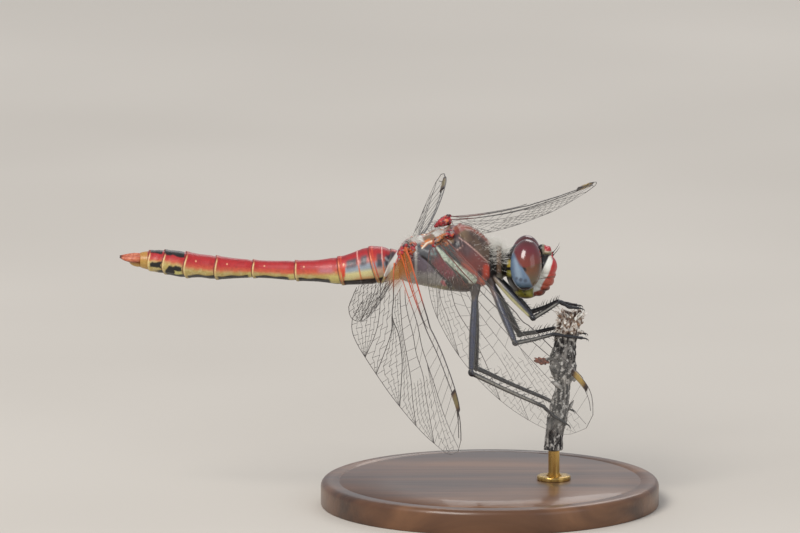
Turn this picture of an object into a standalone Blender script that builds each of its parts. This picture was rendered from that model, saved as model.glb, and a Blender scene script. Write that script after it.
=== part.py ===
"""Male red-veined darter dragonfly gripping the top of a dry twig, on a small display stand.

Units are millimetres in this script and become metres when a mesh is made.
World frame: +Z up, +X the way the insect faces, -Y its right side.
The origin is the centre of the underside of the stand's base.
"""
import bpy
import bmesh
import math
from mathutils import Vector, Matrix

MM = 0.001

# ---- driving dimensions (mm, degrees) ----
BASE_RADIUS = 15.0
BASE_THICKNESS = 2.2
BASE_EDGE_ROUND = 0.5
ROD_RADIUS = 0.45
ROD_FOOT_RADIUS = 1.5
ROD_FOOT_HEIGHT = 0.35
BASE_SIDES = 36
ROD_SIDES = 20

BODY_ORIGIN = Vector((-7.97, 0.0, 21.5))   # where abdomen and thorax meet, on the body's axis
BODY_ROLL = 14.0                           # the back leans this far towards the right side
HEAD_ORIGIN = Vector((3.54, 0.0, 21.41))

HINDWING_LENGTH = 28.0
FOREWING_LENGTH = 28.5
WING_THICKNESS = 0.5
WING_SPAN_STEPS = 16
WING_CHORD_STEPS = 5

CLEARANCE = 0.03          # gap left where one piece seats against another
LEG_SIDES = 8
BODY_SIDES = 18

RED = (0.42, 0.03, 0.035)
GREY_SIDE = (0.20, 0.17, 0.20)
THORAX_BROWN = (0.17, 0.08, 0.05)
LEG_BLACK = (0.02, 0.02, 0.025)
EYE_MAROON = (0.16, 0.02, 0.015)
FACE_RED = (0.40, 0.06, 0.04)
FACE_PALE = (0.55, 0.50, 0.35)
MEMBRANE = (0.55, 0.50, 0.42)
BARK = (0.18, 0.17, 0.15)
WOOD = (0.30, 0.18, 0.09)
BRASS = (0.72, 0.52, 0.22)


# ---- scene ----
for old in list(bpy.data.objects):
    bpy.data.objects.remove(old, do_unlink=True)


def material(name, colour, roughness=0.5, metallic=0.0):
    found = bpy.data.materials.get(name)
    if found:
        return found
    made = bpy.data.materials.new(name)
    made.use_nodes = True
    shader = made.node_tree.nodes["Principled BSDF"]
    shader.inputs["Base Color"].default_value = (*colour, 1.0)
    shader.inputs["Roughness"].default_value = roughness
    shader.inputs["Metallic"].default_value = metallic
    return made


def empty(name, location, roll_degrees=0.0):
    made = bpy.data.objects.new(name, None)
    made.location = location * MM
    made.rotation_euler = (math.radians(roll_degrees), 0.0, 0.0)
    bpy.context.collection.objects.link(made)
    return made


def add_piece(name, bm, finish, parent=None):
    bmesh.ops.scale(bm, vec=(MM, MM, MM), verts=bm.verts)
    bmesh.ops.recalc_face_normals(bm, faces=bm.faces)
    mesh = bpy.data.meshes.new(name)
    bm.to_mesh(mesh)
    bm.free()
    mesh.materials.append(finish)
    mesh.shade_smooth()
    mesh.set_sharp_from_angle(angle=math.radians(40))
    piece = bpy.data.objects.new(name, mesh)
    piece.parent = parent
    bpy.context.collection.objects.link(piece)
    return piece


def seat_against(piece, *neighbours):
    """Trim piece back so that it stops a hair short of each neighbour."""
    bpy.context.view_layer.update()
    for neighbour in neighbours:
        bm = bmesh.new()
        bm.from_mesh(neighbour.data)
        bm.transform(neighbour.matrix_world)
        bm.normal_update()
        for vert in bm.verts:
            vert.co += vert.normal * CLEARANCE * MM
        mesh = bpy.data.meshes.new("cutter_" + neighbour.name)
        bm.to_mesh(mesh)
        bm.free()
        cutter = bpy.data.objects.new("cutter_" + piece.name + "_" + neighbour.name, mesh)
        cutter.hide_render = True
        cutter.display_type = "WIRE"
        bpy.context.collection.objects.link(cutter)
        trim = piece.modifiers.new("seat_" + neighbour.name, "BOOLEAN")
        trim.operation = "DIFFERENCE"
        trim.object = cutter


# ---- shape helpers ----
def smooth_value(stations, x):
    """Catmull-Rom reading of (position, value) stations."""
    last = len(stations) - 1
    if x <= stations[0][0]:
        return stations[0][1]
    if x >= stations[last][0]:
        return stations[last][1]
    k = next(i for i in range(last) if x <= stations[i + 1][0])
    p1, p2 = stations[k], stations[k + 1]
    p0 = stations[k - 1] if k else p1
    p3 = stations[k + 2] if k + 2 <= last else p2
    width = p2[0] - p1[0]
    slope1 = (p2[1] - p0[1]) / (p2[0] - p0[0])
    slope2 = (p3[1] - p1[1]) / (p3[0] - p1[0])
    t = (x - p1[0]) / width
    return ((2 * t ** 3 - 3 * t ** 2 + 1) * p1[1] + (t ** 3 - 2 * t ** 2 + t) * width * slope1
            + (3 * t ** 2 - 2 * t ** 3) * p2[1] + (t ** 3 - t ** 2) * width * slope2)


def section(x, half_width, half_height, centre, sides=BODY_SIDES, squareness=2.0):
    """A closed cross-section ring across the body's axis."""
    ring = []
    for k in range(sides):
        angle = 2 * math.pi * k / sides
        c, s = math.cos(angle), math.sin(angle)
        reach = (abs(c) ** squareness + abs(s) ** squareness) ** (-1 / squareness)
        ring.append(Vector((x, half_width * reach * c, centre + half_height * reach * s)))
    return ring


def loft(rings):
    """Closed solid through rings of equal count, capped flat at both ends."""
    bm = bmesh.new()
    rows = [[bm.verts.new(p) for p in ring] for ring in rings]
    count = len(rows[0])
    for low, high in zip(rows, rows[1:]):
        for k in range(count):
            n = (k + 1) % count
            bm.faces.new((low[k], low[n], high[n], high[k]))
    bm.faces.new(list(reversed(rows[0])))
    bm.faces.new(rows[-1])
    return bm


def limb(points, radii, sides=LEG_SIDES):
    """Closed tapering rod along points, with a mitred ring at each one."""
    points = [Vector(p) for p in points]
    steps = [(b - a).normalized() for a, b in zip(points, points[1:])]
    tangents = [steps[0]] + [(a + b).normalized() for a, b in zip(steps, steps[1:])] + [steps[-1]]
    side = tangents[0].orthogonal().normalized()
    rings = []
    for point, tangent, radius in zip(points, tangents, radii):
        side = (side - tangent * side.dot(tangent)).normalized()
        up = tangent.cross(side)
        rings.append([point + radius * (math.cos(a) * side + math.sin(a) * up)
                      for a in (2 * math.pi * k / sides for k in range(sides))])
    return loft(rings)


def ball(centre, half_axes, columns=16, rows=9, tilt=0.0, lean=0.0):
    """Ellipsoid with its poles left and right, tilted about the cross axis, leaning to a side."""
    bm = bmesh.new()
    bmesh.ops.create_uvsphere(bm, u_segments=columns, v_segments=rows, radius=1.0)
    lie = Matrix.Rotation(math.radians(90), 4, "X")
    turn = Matrix.Rotation(math.radians(lean), 4, "X") @ Matrix.Rotation(math.radians(tilt), 4, "Y")
    bm.transform(Matrix.Translation(centre) @ turn @ Matrix.Diagonal((*half_axes, 1.0)) @ lie)
    return bm


# ---- stand: turned wooden disc and a brass rod with a small round foot ----
def build_stand():
    bm = bmesh.new()
    middle = Matrix.Translation((0, 0, BASE_THICKNESS / 2))
    bmesh.ops.create_cone(bm, cap_ends=True, segments=BASE_SIDES, radius1=BASE_RADIUS,
                          radius2=BASE_RADIUS, depth=BASE_THICKNESS, matrix=middle)
    rim = [e for e in bm.edges if all(v.co.z > BASE_THICKNESS * 0.9 for v in e.verts)]
    bmesh.ops.bevel(bm, geom=rim, offset=BASE_EDGE_ROUND, segments=3, profile=0.5, affect="EDGES")
    add_piece("stand_base", bm, material("walnut", WOOD, 0.45))

    foot = TWIG_AXIS[0]
    low = BASE_THICKNESS + CLEARANCE
    neck = low + ROD_FOOT_HEIGHT
    top = foot[2] - CLEARANCE
    profile = ((ROD_FOOT_RADIUS, low), (ROD_FOOT_RADIUS, neck - 0.1),
               (ROD_FOOT_RADIUS - 0.15, neck), (ROD_RADIUS + 0.15, neck),
               (ROD_RADIUS, neck + 0.2), (ROD_RADIUS, top))
    rings = []
    for radius, z in profile:
        rings.append([Vector((foot[0] + radius * math.cos(a), foot[1] + radius * math.sin(a), z))
                      for a in (2 * math.pi * k / ROD_SIDES for k in range(ROD_SIDES))])
    add_piece("stand_rod", loft(rings), material("brass", BRASS, 0.3, 1.0))


# ---- perch: a short cut length of dry twig, leaning forwards, with a worn broken top ----
TWIG_AXIS = ((5.68, 0.0, 4.9), (5.75, 0.0, 6.2), (6.02, 0.0, 7.9), (6.25, 0.0, 9.6),
             (6.45, 0.0, 10.8), (6.50, 0.0, 11.9), (6.52, 0.0, 13.4), (6.72, 0.0, 14.6),
             (6.95, 0.0, 15.8), (7.15, 0.0, 16.8), (7.22, 0.0, 17.3))
TWIG_RADII = (0.84, 0.82, 0.88, 0.76, 0.68, 1.12, 1.15, 0.98, 1.02, 0.95, 0.6)
TWIG_SIDES = 12


def build_twig():
    rings = []
    for index, (point, radius) in enumerate(zip(TWIG_AXIS, TWIG_RADII)):
        ring = []
        for k in range(TWIG_SIDES):
            angle = 2 * math.pi * k / TWIG_SIDES
            ridge = 1 + 0.06 * math.sin(3 * angle + 0.9 * index)
            ridge += 0.04 * math.sin(5 * angle - index)
            level = index not in (0, len(TWIG_AXIS) - 1)
            lift = 0.12 * math.sin(2 * angle + index) if level else 0.0
            ring.append(Vector(point) + Vector((radius * ridge * math.cos(angle),
                                                radius * ridge * math.sin(angle), lift)))
        rings.append(ring)
    return add_piece("perch_twig", loft(rings), material("bark", BARK, 0.85))


# ---- abdomen: ten ringed segments that swell at S2-S3, pinch at S5 and widen again at S7-S8 ----
# body frame: x forwards from the body origin; stations are (x, value)
ABDOMEN_JOINTS = (-0.15, -0.80, -2.80, -5.60, -9.38, -13.14, -16.44, -19.18, -21.07, -22.36,
                  -22.95)
ABDOMEN_RADIUS = ((-22.95, 0.62), (-22.2, 0.83), (-20.6, 1.02), (-18.9, 1.09), (-17.7, 0.98),
                  (-16.2, 0.99), (-14.6, 0.85), (-13.0, 0.76), (-11.5, 0.75), (-8.85, 0.87),
                  (-7.1, 0.94), (-5.2, 1.21), (-4.4, 1.33), (-2.55, 1.60), (-1.35, 1.48),
                  (-0.80, 1.31), (0.4, 1.25))
ABDOMEN_AXIS = ((-22.95, 0.51), (-22.0, 0.44), (-20.6, 0.30), (-19.1, 0.07), (-17.7, -0.05),
                (-16.2, -0.23), (-13.0, -0.35), (-8.85, -0.53), (-5.2, -0.50), (-4.4, -0.37),
                (-2.55, 0.01), (0.4, 0.05))
ABDOMEN_WIDTH_RATIO = ((-23.0, 1.12), (-16.0, 1.10), (-9.0, 1.04), (0.0, 1.04))
SEGMENT_FLARE = 0.035
SEGMENT_SIDES = 16
GREY_SEGMENTS = 3          # the first segments are grey-blue at the sides


def abdomen_section(x, extra=0.0):
    radius = smooth_value(ABDOMEN_RADIUS, x) + extra
    width = radius * smooth_value(ABDOMEN_WIDTH_RATIO, x)
    centre = smooth_value(ABDOMEN_AXIS, x)
    ring = []
    for k in range(SEGMENT_SIDES):
        angle = 2 * math.pi * (k + 0.5) / SEGMENT_SIDES
        c, s = math.cos(angle), math.sin(angle)
        keel = 0.05 * radius * max(0.0, s) ** 6          # faint ridge along the back
        deep = 1.06 if s < -0.75 else 1.0                # the belly plates hang a little lower
        ring.append(Vector((x, width * c, centre + radius * deep * s + keel)))
    return ring


def build_abdomen(body):
    made = []
    for number, (front, back) in enumerate(zip(ABDOMEN_JOINTS, ABDOMEN_JOINTS[1:]), start=1):
        length = front - back
        gap = CLEARANCE / 2
        stops = [(gap, -0.02), (0.10 * length, 0.0)]
        if length > 1.5:
            stops += [(0.5 * length, 0.0)]
        stops += [(length - 0.16 * length, 0.0), (length - gap, SEGMENT_FLARE)]
        rings = [abdomen_section(front - offset, extra) for offset, extra in stops]
        colour = GREY_SIDE if number <= GREY_SEGMENTS else RED
        made.append(add_piece("abdomen_%d" % number, loft(rings),
                              material("abdomen_%d" % number, colour, 0.38), body))
    return made


CERCUS_LENGTH = 1.85
CERCUS_SPACING = 0.33
CERCUS_RADII = (0.22, 0.27, 0.25, 0.12)
EPIPROCT_RADII = (0.27, 0.27, 0.16)


def build_tail_end(body):
    finish = material("appendage", (0.55, 0.20, 0.10), 0.45)
    root = ABDOMEN_JOINTS[-1] - CLEARANCE
    for side, name in ((1, "cercus_L"), (-1, "cercus_R")):
        path = [(root, side * CERCUS_SPACING, 0.78), (root - 0.5, side * 0.38, 0.72),
                (root - 1.2, side * 0.31, 0.70), (root - CERCUS_LENGTH, side * 0.17, 0.82)]
        add_piece(name, limb(path, CERCUS_RADII), finish, body)
    path = [(root, 0.0, 0.16), (root - 0.45, 0.0, 0.22), (root - 0.95, 0.0, 0.34)]
    add_piece("epiproct", limb(path, EPIPROCT_RADII), finish, body)


# ---- thorax: box of the wing muscles, sloping forwards, deepest over the middle legs ----
# (x, half width, half height, centre height) in the body frame
THORAX_STATIONS = ((-0.10, 1.25, 1.25, 0.12), (0.70, 1.75, 1.85, 0.42), (1.80, 2.15, 2.15, 0.50),
                   (3.50, 2.42, 2.62, 0.60), (4.90, 2.48, 2.92, 0.66), (6.05, 2.38, 2.95, 0.68),
                   (7.10, 2.10, 2.45, 0.55), (7.90, 1.70, 1.85, 0.30), (8.35, 1.36, 1.50, 0.18))
THORAX_SQUARENESS = 2.3
PROTHORAX_STATIONS = ((8.40, 1.28, 1.42, 0.07), (8.60, 1.48, 1.68, 0.10), (8.95, 1.45, 1.62, 0.05),
                      (9.12, 1.15, 1.25, 0.0))
NECK_STATIONS = ((9.15, 0.98, 1.08, 0.0), (9.65, 0.90, 1.00, 0.0))


def build_trunk(body):
    rings = [section(x, w, h, c, squareness=THORAX_SQUARENESS) for x, w, h, c in THORAX_STATIONS]
    thorax = add_piece("thorax", loft(rings), material("thorax", THORAX_BROWN, 0.5), body)
    rings = [section(x, w, h, c, sides=16) for x, w, h, c in PROTHORAX_STATIONS]
    prothorax = add_piece("prothorax", loft(rings), material("prothorax", THORAX_BROWN, 0.55), body)
    rings = [section(x, w, h, c, sides=12) for x, w, h, c in NECK_STATIONS]
    neck = add_piece("neck", loft(rings), material("neck", (0.08, 0.05, 0.04), 0.6), body)
    return thorax, prothorax, neck


# ---- head: two great eyes that meet on top, a bulging face and a hollow-backed capsule ----
EYE_HALF_AXES = (1.42, 1.50, 2.28)
EYE_OFFSET = Vector((-0.36, 1.35, 0.34))
EYE_TILT = 3.0
EYE_LEAN = 14.0          # the eyes lean together so that they meet on top
ANTENNA_RADII = (0.25, 0.25, 0.20)


def build_head(head):
    eyes = []
    for side, name in ((-1, "eye_R"), (1, "eye_L")):
        centre = Vector((EYE_OFFSET.x, side * EYE_OFFSET.y, EYE_OFFSET.z))
        bm = ball(centre, EYE_HALF_AXES, 22, 12, tilt=EYE_TILT, lean=side * EYE_LEAN)
        plane = Vector((0.0, side * CLEARANCE / 2, 0.0))
        cut = bmesh.ops.bisect_plane(bm, geom=bm.verts[:] + bm.edges[:] + bm.faces[:],
                                     plane_co=plane, plane_no=(0.0, side, 0.0), clear_inner=True)
        rim = [e for e in cut["geom_cut"] if isinstance(e, bmesh.types.BMEdge)]
        bmesh.ops.edgeloop_fill(bm, edges=rim)
        eyes.append(add_piece(name, bm, material("eye", EYE_MAROON, 0.15), head))

    capsule = add_piece("head_capsule", ball((-0.85, 0.0, -0.12), (1.38, 2.35, 2.18), 18, 11),
                        material("capsule", (0.10, 0.09, 0.03), 0.5), head)
    seat_against(capsule, *eyes)
    frons = add_piece("frons", ball((1.28, 0.0, 0.02), (1.14, 1.42, 1.08), tilt=12),
                      material("frons", FACE_RED, 0.4), head)
    seat_against(frons, capsule, *eyes)
    clypeus = add_piece("clypeus", ball((0.78, 0.0, -1.00), (1.42, 1.24, 0.86), tilt=20),
                        material("clypeus", FACE_PALE, 0.45), head)
    seat_against(clypeus, frons, capsule, *eyes)
    labrum = add_piece("labrum", ball((0.32, 0.0, -1.80), (1.18, 1.18, 0.76), tilt=30),
                       material("labrum", FACE_RED, 0.45), head)
    seat_against(labrum, clypeus, frons, capsule, *eyes)
    labium = add_piece("labium", ball((-0.35, 0.0, -2.20), (1.15, 1.25, 0.70)),
                       material("labium", (0.30, 0.27, 0.05), 0.5), head)
    seat_against(labium, labrum, clypeus, capsule, *eyes)
    vertex = add_piece("vertex", ball((1.50, 0.0, 1.28), (0.46, 0.55, 0.56), 14, 8),
                       material("vertex", FACE_RED, 0.4), head)
    seat_against(vertex, frons, capsule, *eyes)
    antenna_root = Vector((1.98, 0.62, 1.05))
    for side, name in ((-1, "antenna_R"), (1, "antenna_L")):
        path = [(antenna_root.x, side * antenna_root.y, antenna_root.z),
                (antenna_root.x + 0.22, side * 0.72, 1.28),
                (antenna_root.x + 0.62, side * 0.95, 1.72)]
        hair = limb(path, ANTENNA_RADII, 6)
        feeler = add_piece(name, hair, material("antenna", LEG_BLACK, 0.5), head)
        seat_against(feeler, vertex, frons, *eyes)
    return capsule


# ---- wings: stiff membranes; each is a bent, twisted plate that follows the real planform ----
# leading and trailing edges as (fraction of span, fraction of length ahead of the hinge line)
HINDWING_LEADING = ((0.0, 0.0), (0.1, -0.004), (0.25, -0.010), (0.42, -0.010), (0.6, 0.0),
                    (0.78, 0.0), (0.88, -0.012), (0.95, -0.034), (1.0, -0.070))
HINDWING_TRAILING = ((0.0, -0.235), (0.03, -0.305), (0.06, -0.322), (0.16, -0.330), (0.26, -0.325),
                     (0.38, -0.313), (0.53, -0.286), (0.68, -0.249), (0.82, -0.205), (0.93, -0.162),
                     (1.0, -0.110))
FOREWING_LEADING = ((0.0, 0.0), (0.12, 0.004), (0.25, 0.008), (0.49, 0.012), (0.65, 0.012),
                    (0.8, 0.010), (0.9, 0.0), (0.96, -0.024), (1.0, -0.064))
FOREWING_TRAILING = ((0.0, -0.055), (0.03, -0.085), (0.08, -0.125), (0.16, -0.168), (0.27, -0.20),
                     (0.4, -0.22), (0.55, -0.225), (0.7, -0.215), (0.85, -0.19), (0.94, -0.16),
                     (1.0, -0.11))

# hinge is in the body frame; side is -1 on the right; angles in degrees
WINGS = {
    "hindwing_R": dict(length=HINDWING_LENGTH, side=-1, hinge=(0.45, 1.45, 2.45), sweep=11.0, droop=9.5,
                       bend=-7.0, root_pitch=66.0, tip_pitch=80.0, twist_reach=0.4, camber=-20.0),
    "hindwing_L": dict(length=HINDWING_LENGTH, side=1, hinge=(1.05, 1.45, 1.95), sweep=7.5, droop=8.5,
                       bend=-30.0, root_pitch=37.0, tip_pitch=61.0, twist_reach=0.1, camber=18.0),
    "forewing_R": dict(length=FOREWING_LENGTH, side=-1, hinge=(3.80, 1.45, 3.45), sweep=29.5, droop=9.0,
                       bend=-13.5, root_pitch=40.0, tip_pitch=62.0, twist_reach=0.4, camber=17.0),
    "forewing_L": dict(length=FOREWING_LENGTH, side=1, hinge=(4.25, 1.45, 4.10), sweep=31.5, droop=13.0,
                       bend=-13.5, root_pitch=30.0, tip_pitch=48.0, twist_reach=0.6, camber=-15.0),
}


def wing_point(wing, span, chord):
    """Point of a wing's mid-surface in the body frame; span 0..1 along it, chord in lengths ahead."""
    steps = 24
    droop, bend, sweep = (math.radians(wing[k]) for k in ("droop", "bend", "sweep"))

    def run(t):
        dip = droop + bend * (t - 0.5)
        level = math.cos(dip)
        return Vector((math.sin(sweep) * level, math.cos(sweep) * level, -math.sin(dip)))

    place = Vector((0.0, 0.0, 0.0))
    for k in range(steps):
        place += run(span * (k + 0.5) / steps) * span * wing["length"] / steps
    along = run(span)
    level = along.cross(Vector((0.0, 0.0, 1.0))).normalized()
    upright = level.cross(along)
    fade = math.exp(-span / wing["twist_reach"])
    pitch = wing["tip_pitch"] + (wing["root_pitch"] - wing["tip_pitch"]) * fade
    pitch += 0.5 * wing["camber"] * fade * max(-chord, 0.0) / 0.28
    pitch = math.radians(pitch)
    place += (math.cos(pitch) * level + math.sin(pitch) * upright) * chord * wing["length"]
    hinge = wing["hinge"]
    return Vector((hinge[0] + place.x, wing["side"] * (hinge[1] + place.y), hinge[2] + place.z))


WINGROOT_HALF_AXES = (0.85, 0.55, 0.62)
WINGROOT_SET_BACK = 0.55     # down and back along the chord from the hinge


def build_wingroot(name, wing, body, trunk):
    """Red boss of hinge plates that carries a wing on the thorax."""
    pitch = math.radians(wing["root_pitch"])
    hinge = wing["hinge"]
    centre = (hinge[0] - WINGROOT_SET_BACK * math.cos(pitch), wing["side"] * (hinge[1] - 0.12),
              hinge[2] - WINGROOT_SET_BACK * math.sin(pitch) - 0.25)
    boss = add_piece("wingroot_" + name, ball(centre, WINGROOT_HALF_AXES, 12, 8),
                     material("wingroot", RED, 0.45), body)
    seat_against(boss, trunk)
    return boss


def build_wing(name, wing, body, *neighbours):
    hind = name.startswith("hind")
    leading = HINDWING_LEADING if hind else FOREWING_LEADING
    trailing = HINDWING_TRAILING if hind else FOREWING_TRAILING
    root_start = 0.012
    grid = []
    for i in range(WING_SPAN_STEPS + 1):
        span = root_start + (1 - root_start) * (i / WING_SPAN_STEPS) ** 1.15
        front = smooth_value(leading, span)
        back = smooth_value(trailing, span)
        column = []
        for j in range(WING_CHORD_STEPS + 1):
            chord = front + (back - front) * j / WING_CHORD_STEPS
            column.append(wing_point(wing, span, chord))
        grid.append(column)
    bm = bmesh.new()
    half = WING_THICKNESS / 2
    layers = ([], [])
    for i, column in enumerate(grid):
        rows = ([], [])
        for j, point in enumerate(column):
            ahead = grid[min(i + 1, WING_SPAN_STEPS)][j] - grid[max(i - 1, 0)][j]
            across = column[min(j + 1, WING_CHORD_STEPS)] - column[max(j - 1, 0)]
            normal = ahead.cross(across).normalized()
            for row, sign in zip(rows, (1, -1)):
                row.append(bm.verts.new(point + normal * half * sign))
        for layer, row in zip(layers, rows):
            layer.append(row)
    for layer in layers:
        for a, b in zip(layer, layer[1:]):
            for j in range(WING_CHORD_STEPS):
                bm.faces.new((a[j], a[j + 1], b[j + 1], b[j]))
    top, under = layers
    rim = [(i, 0) for i in range(WING_SPAN_STEPS)]
    rim += [(WING_SPAN_STEPS, j) for j in range(WING_CHORD_STEPS)]
    rim += [(i, WING_CHORD_STEPS) for i in range(WING_SPAN_STEPS, 0, -1)]
    rim += [(0, j) for j in range(WING_CHORD_STEPS, 0, -1)]
    for (i, j), (m, n) in zip(rim, rim[1:] + rim[:1]):
        bm.faces.new((top[i][j], top[m][n], under[m][n], under[i][j]))
    piece = add_piece(name, bm, material("membrane", MEMBRANE, 0.25), body)
    seat_against(piece, *neighbours)
    return piece


# ---- legs: femur with its coxa, spiny tibia, tarsus with claw; world frame ----
# hip, knee, ankle, then the way the tarsus runs over the twig
LEGS = {
    "front_R": ((0.18, -0.75, 20.75), (3.81, -3.0, 17.27), (6.10, -1.75, 18.50),
                (7.0, -1.25, 17.95), (7.9, -0.75, 17.75)),
    "middle_R": ((0.05, -1.10, 20.1), (2.21, -3.9, 15.18), (5.60, -2.1, 15.66),
                 (7.0, -1.50, 15.35), (8.25, -0.95, 15.1)),
    "hind_R": ((-1.33, -1.25, 19.4), (-1.68, -3.6, 12.43), (4.70, -2.0, 9.15),
               (5.6, -1.45, 8.2), (6.75, -1.25, 7.45)),
    "front_L": ((0.18, 1.00, 20.7), (3.62, 2.8, 16.75), (6.05, 1.75, 17.95),
                (6.9, 1.25, 17.8), (7.75, 0.75, 17.75)),
    "middle_L": ((-0.05, 1.45, 19.95), (2.65, 3.6, 14.60), (5.70, 2.1, 15.45),
                 (7.0, 1.50, 15.3), (8.2, 0.95, 15.2)),
    "hind_L": ((-1.33, 1.50, 19.4), (-1.24, 3.4, 11.64), (5.00, 2.0, 9.10),
               (6.0, 1.35, 8.7), (7.17, 1.0, 8.30)),
}
FEMUR_RADII = (0.42, 0.40, 0.30, 0.20)
TIBIA_RADII = (0.20, 0.26, 0.25, 0.20)
TARSUS_RADII = (0.20, 0.25, 0.25, 0.14)


def along(a, b, distance):
    a, b = Vector(a), Vector(b)
    return a + (b - a).normalized() * distance


COXA_LENGTH = 0.78        # how far the hip runs up inside the thorax
COXA_SLANT = 0.25         # towards the middle of the body
MIDDLE_COXA_LEAN = 0.55   # backwards, clear of the front hips


def build_legs(thorax, prothorax, twig):
    chitin = material("chitin", LEG_BLACK, 0.35)
    for name, (hip, knee, ankle, foot, claw) in LEGS.items():
        mid = (Vector(hip) + Vector(knee)) / 2
        inwards = -COXA_SLANT if hip[1] > 0 else COXA_SLANT
        backwards = MIDDLE_COXA_LEAN if name.startswith("middle") else 0.0
        socket = Vector(hip)
        if not name.startswith("front"):
            socket += Vector((-backwards, inwards, COXA_LENGTH))
        thigh = [socket, along(hip, knee, 0.5), mid, along(knee, hip, 0.10)]
        femur = add_piece("leg_%s_femur" % name, limb(thigh, FEMUR_RADII), chitin)
        seat_against(femur, thorax, prothorax)
        shin = [along(knee, ankle, 0.16), along(knee, ankle, 0.7), along(ankle, knee, 0.6),
                along(ankle, knee, 0.08)]
        tibia = add_piece("leg_%s_tibia" % name, limb(shin, TIBIA_RADII), chitin)
        seat_against(tibia, femur, twig)
        toes = [along(ankle, foot, 0.10), along(ankle, foot, 0.35), foot, claw]
        tarsus = add_piece("leg_%s_tarsus" % name, limb(toes, TARSUS_RADII), chitin)
        seat_against(tarsus, tibia, twig)


build_stand()
perch = build_twig()
body_frame = empty("body_axis", BODY_ORIGIN, BODY_ROLL)
head_frame = empty("head_axis", HEAD_ORIGIN)
segments = build_abdomen(body_frame)
build_tail_end(body_frame)
trunk, collar, neck_piece = build_trunk(body_frame)
skull = build_head(head_frame)
seat_against(collar, trunk)
seat_against(neck_piece, collar, skull)
for wing_name, pose in WINGS.items():
    boss = build_wingroot(wing_name, pose, body_frame, trunk)
    build_wing(wing_name, pose, body_frame, trunk, segments[0], segments[1], boss)
build_legs(trunk, collar, perch)
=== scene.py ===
"""Male red-veined darter dragonfly, life size, gripping the worn top of a twig on a small stand."""
import math
import random

import bpy
from mathutils import Matrix, Vector, noise


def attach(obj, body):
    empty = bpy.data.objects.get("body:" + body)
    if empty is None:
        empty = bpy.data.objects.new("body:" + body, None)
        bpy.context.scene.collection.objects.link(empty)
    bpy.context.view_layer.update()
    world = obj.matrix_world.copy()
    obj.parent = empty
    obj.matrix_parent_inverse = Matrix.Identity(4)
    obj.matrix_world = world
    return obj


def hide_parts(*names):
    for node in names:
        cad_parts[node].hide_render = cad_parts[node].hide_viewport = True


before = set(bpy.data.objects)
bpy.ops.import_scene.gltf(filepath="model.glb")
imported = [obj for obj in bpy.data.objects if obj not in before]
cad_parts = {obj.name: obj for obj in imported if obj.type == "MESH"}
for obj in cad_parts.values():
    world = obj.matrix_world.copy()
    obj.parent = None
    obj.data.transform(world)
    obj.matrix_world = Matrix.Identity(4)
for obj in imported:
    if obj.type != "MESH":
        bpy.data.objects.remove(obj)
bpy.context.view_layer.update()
MM = 0.001


# ---- Studio ----
# A wide matt floor, an even sky and three soft lamps. A long lens looks at the insect's right side
# from ten degrees above the level, with the tail to the left and the head to the right.
def tone(red, green, blue, alpha=1.0):
    """A colour by its eight-bit screen values, as the linear light that a shader wants."""
    linear = []
    for value in (red, green, blue):
        share = value / 255
        linear.append(share / 12.92 if share <= 0.04045 else ((share + 0.055) / 1.055) ** 2.4)
    return (*linear, alpha)


def grey(share):
    return (share, share, share, 1.0)


def finish_of(name, colour, roughness, **sockets):
    """A new material, its nodes and links, and its one Principled shader."""
    made = bpy.data.materials.new(name)
    made.use_nodes = True
    shader = made.node_tree.nodes["Principled BSDF"]
    shader.inputs["Base Color"].default_value = colour
    shader.inputs["Roughness"].default_value = roughness
    for socket, value in sockets.items():
        shader.inputs[socket.replace("_", " ")].default_value = value
    return made, made.node_tree.nodes, made.node_tree.links, shader


def grain(nodes, links, size_mm, stretch=(1.0, 1.0, 1.0), detail=4.0, kind="ShaderNodeTexNoise"):
    """A noise, or another texture, whose marks are size_mm across on the piece itself."""
    place = nodes.new("ShaderNodeTexCoord")
    lie = nodes.new("ShaderNodeMapping")
    lie.inputs["Scale"].default_value = stretch
    marks = nodes.new(kind)
    marks.inputs["Scale"].default_value = 1.0 / (size_mm * MM)
    if kind == "ShaderNodeTexNoise":
        marks.inputs["Detail"].default_value = detail
    links.new(place.outputs["Object"], lie.inputs["Vector"])
    links.new(lie.outputs["Vector"], marks.inputs["Vector"])
    return marks


def shades(nodes, links, source, *stops):
    """A colour ramp fed by a texture; each stop is (place, colour)."""
    ramp = nodes.new("ShaderNodeValToRGB")
    ramp.color_ramp.elements[0].position, ramp.color_ramp.elements[0].color = stops[0]
    ramp.color_ramp.elements[1].position, ramp.color_ramp.elements[1].color = stops[-1]
    for place, colour in stops[1:-1]:
        ramp.color_ramp.elements.new(place).color = colour
    links.new(source, ramp.inputs["Fac"])
    return ramp


def relief(nodes, links, shader, height, depth_mm, strength):
    """Fine bumps on a shader, as deep as depth_mm where the texture is white."""
    bump = nodes.new("ShaderNodeBump")
    bump.inputs["Distance"].default_value = depth_mm * MM
    bump.inputs["Strength"].default_value = strength
    links.new(height, bump.inputs["Height"])
    links.new(bump.outputs["Normal"], shader.inputs["Normal"])


FLOOR_WIDTH = 8.0
bpy.ops.object.select_all(action="DESELECT")
bpy.ops.mesh.primitive_plane_add(size=FLOOR_WIDTH)
floor = bpy.context.active_object
floor.name = "floor"
paint, nodes, links, shader = finish_of("pale_floor", tone(206, 199, 190), 0.9)
mottle = grain(nodes, links, 90.0, detail=2.0)
shade = shades(nodes, links, mottle.outputs["Fac"], (0.3, tone(200, 193, 184)),
               (0.7, tone(212, 205, 196)))
links.new(shade.outputs["Color"], shader.inputs["Base Color"])
floor.data.materials.append(paint)

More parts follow.
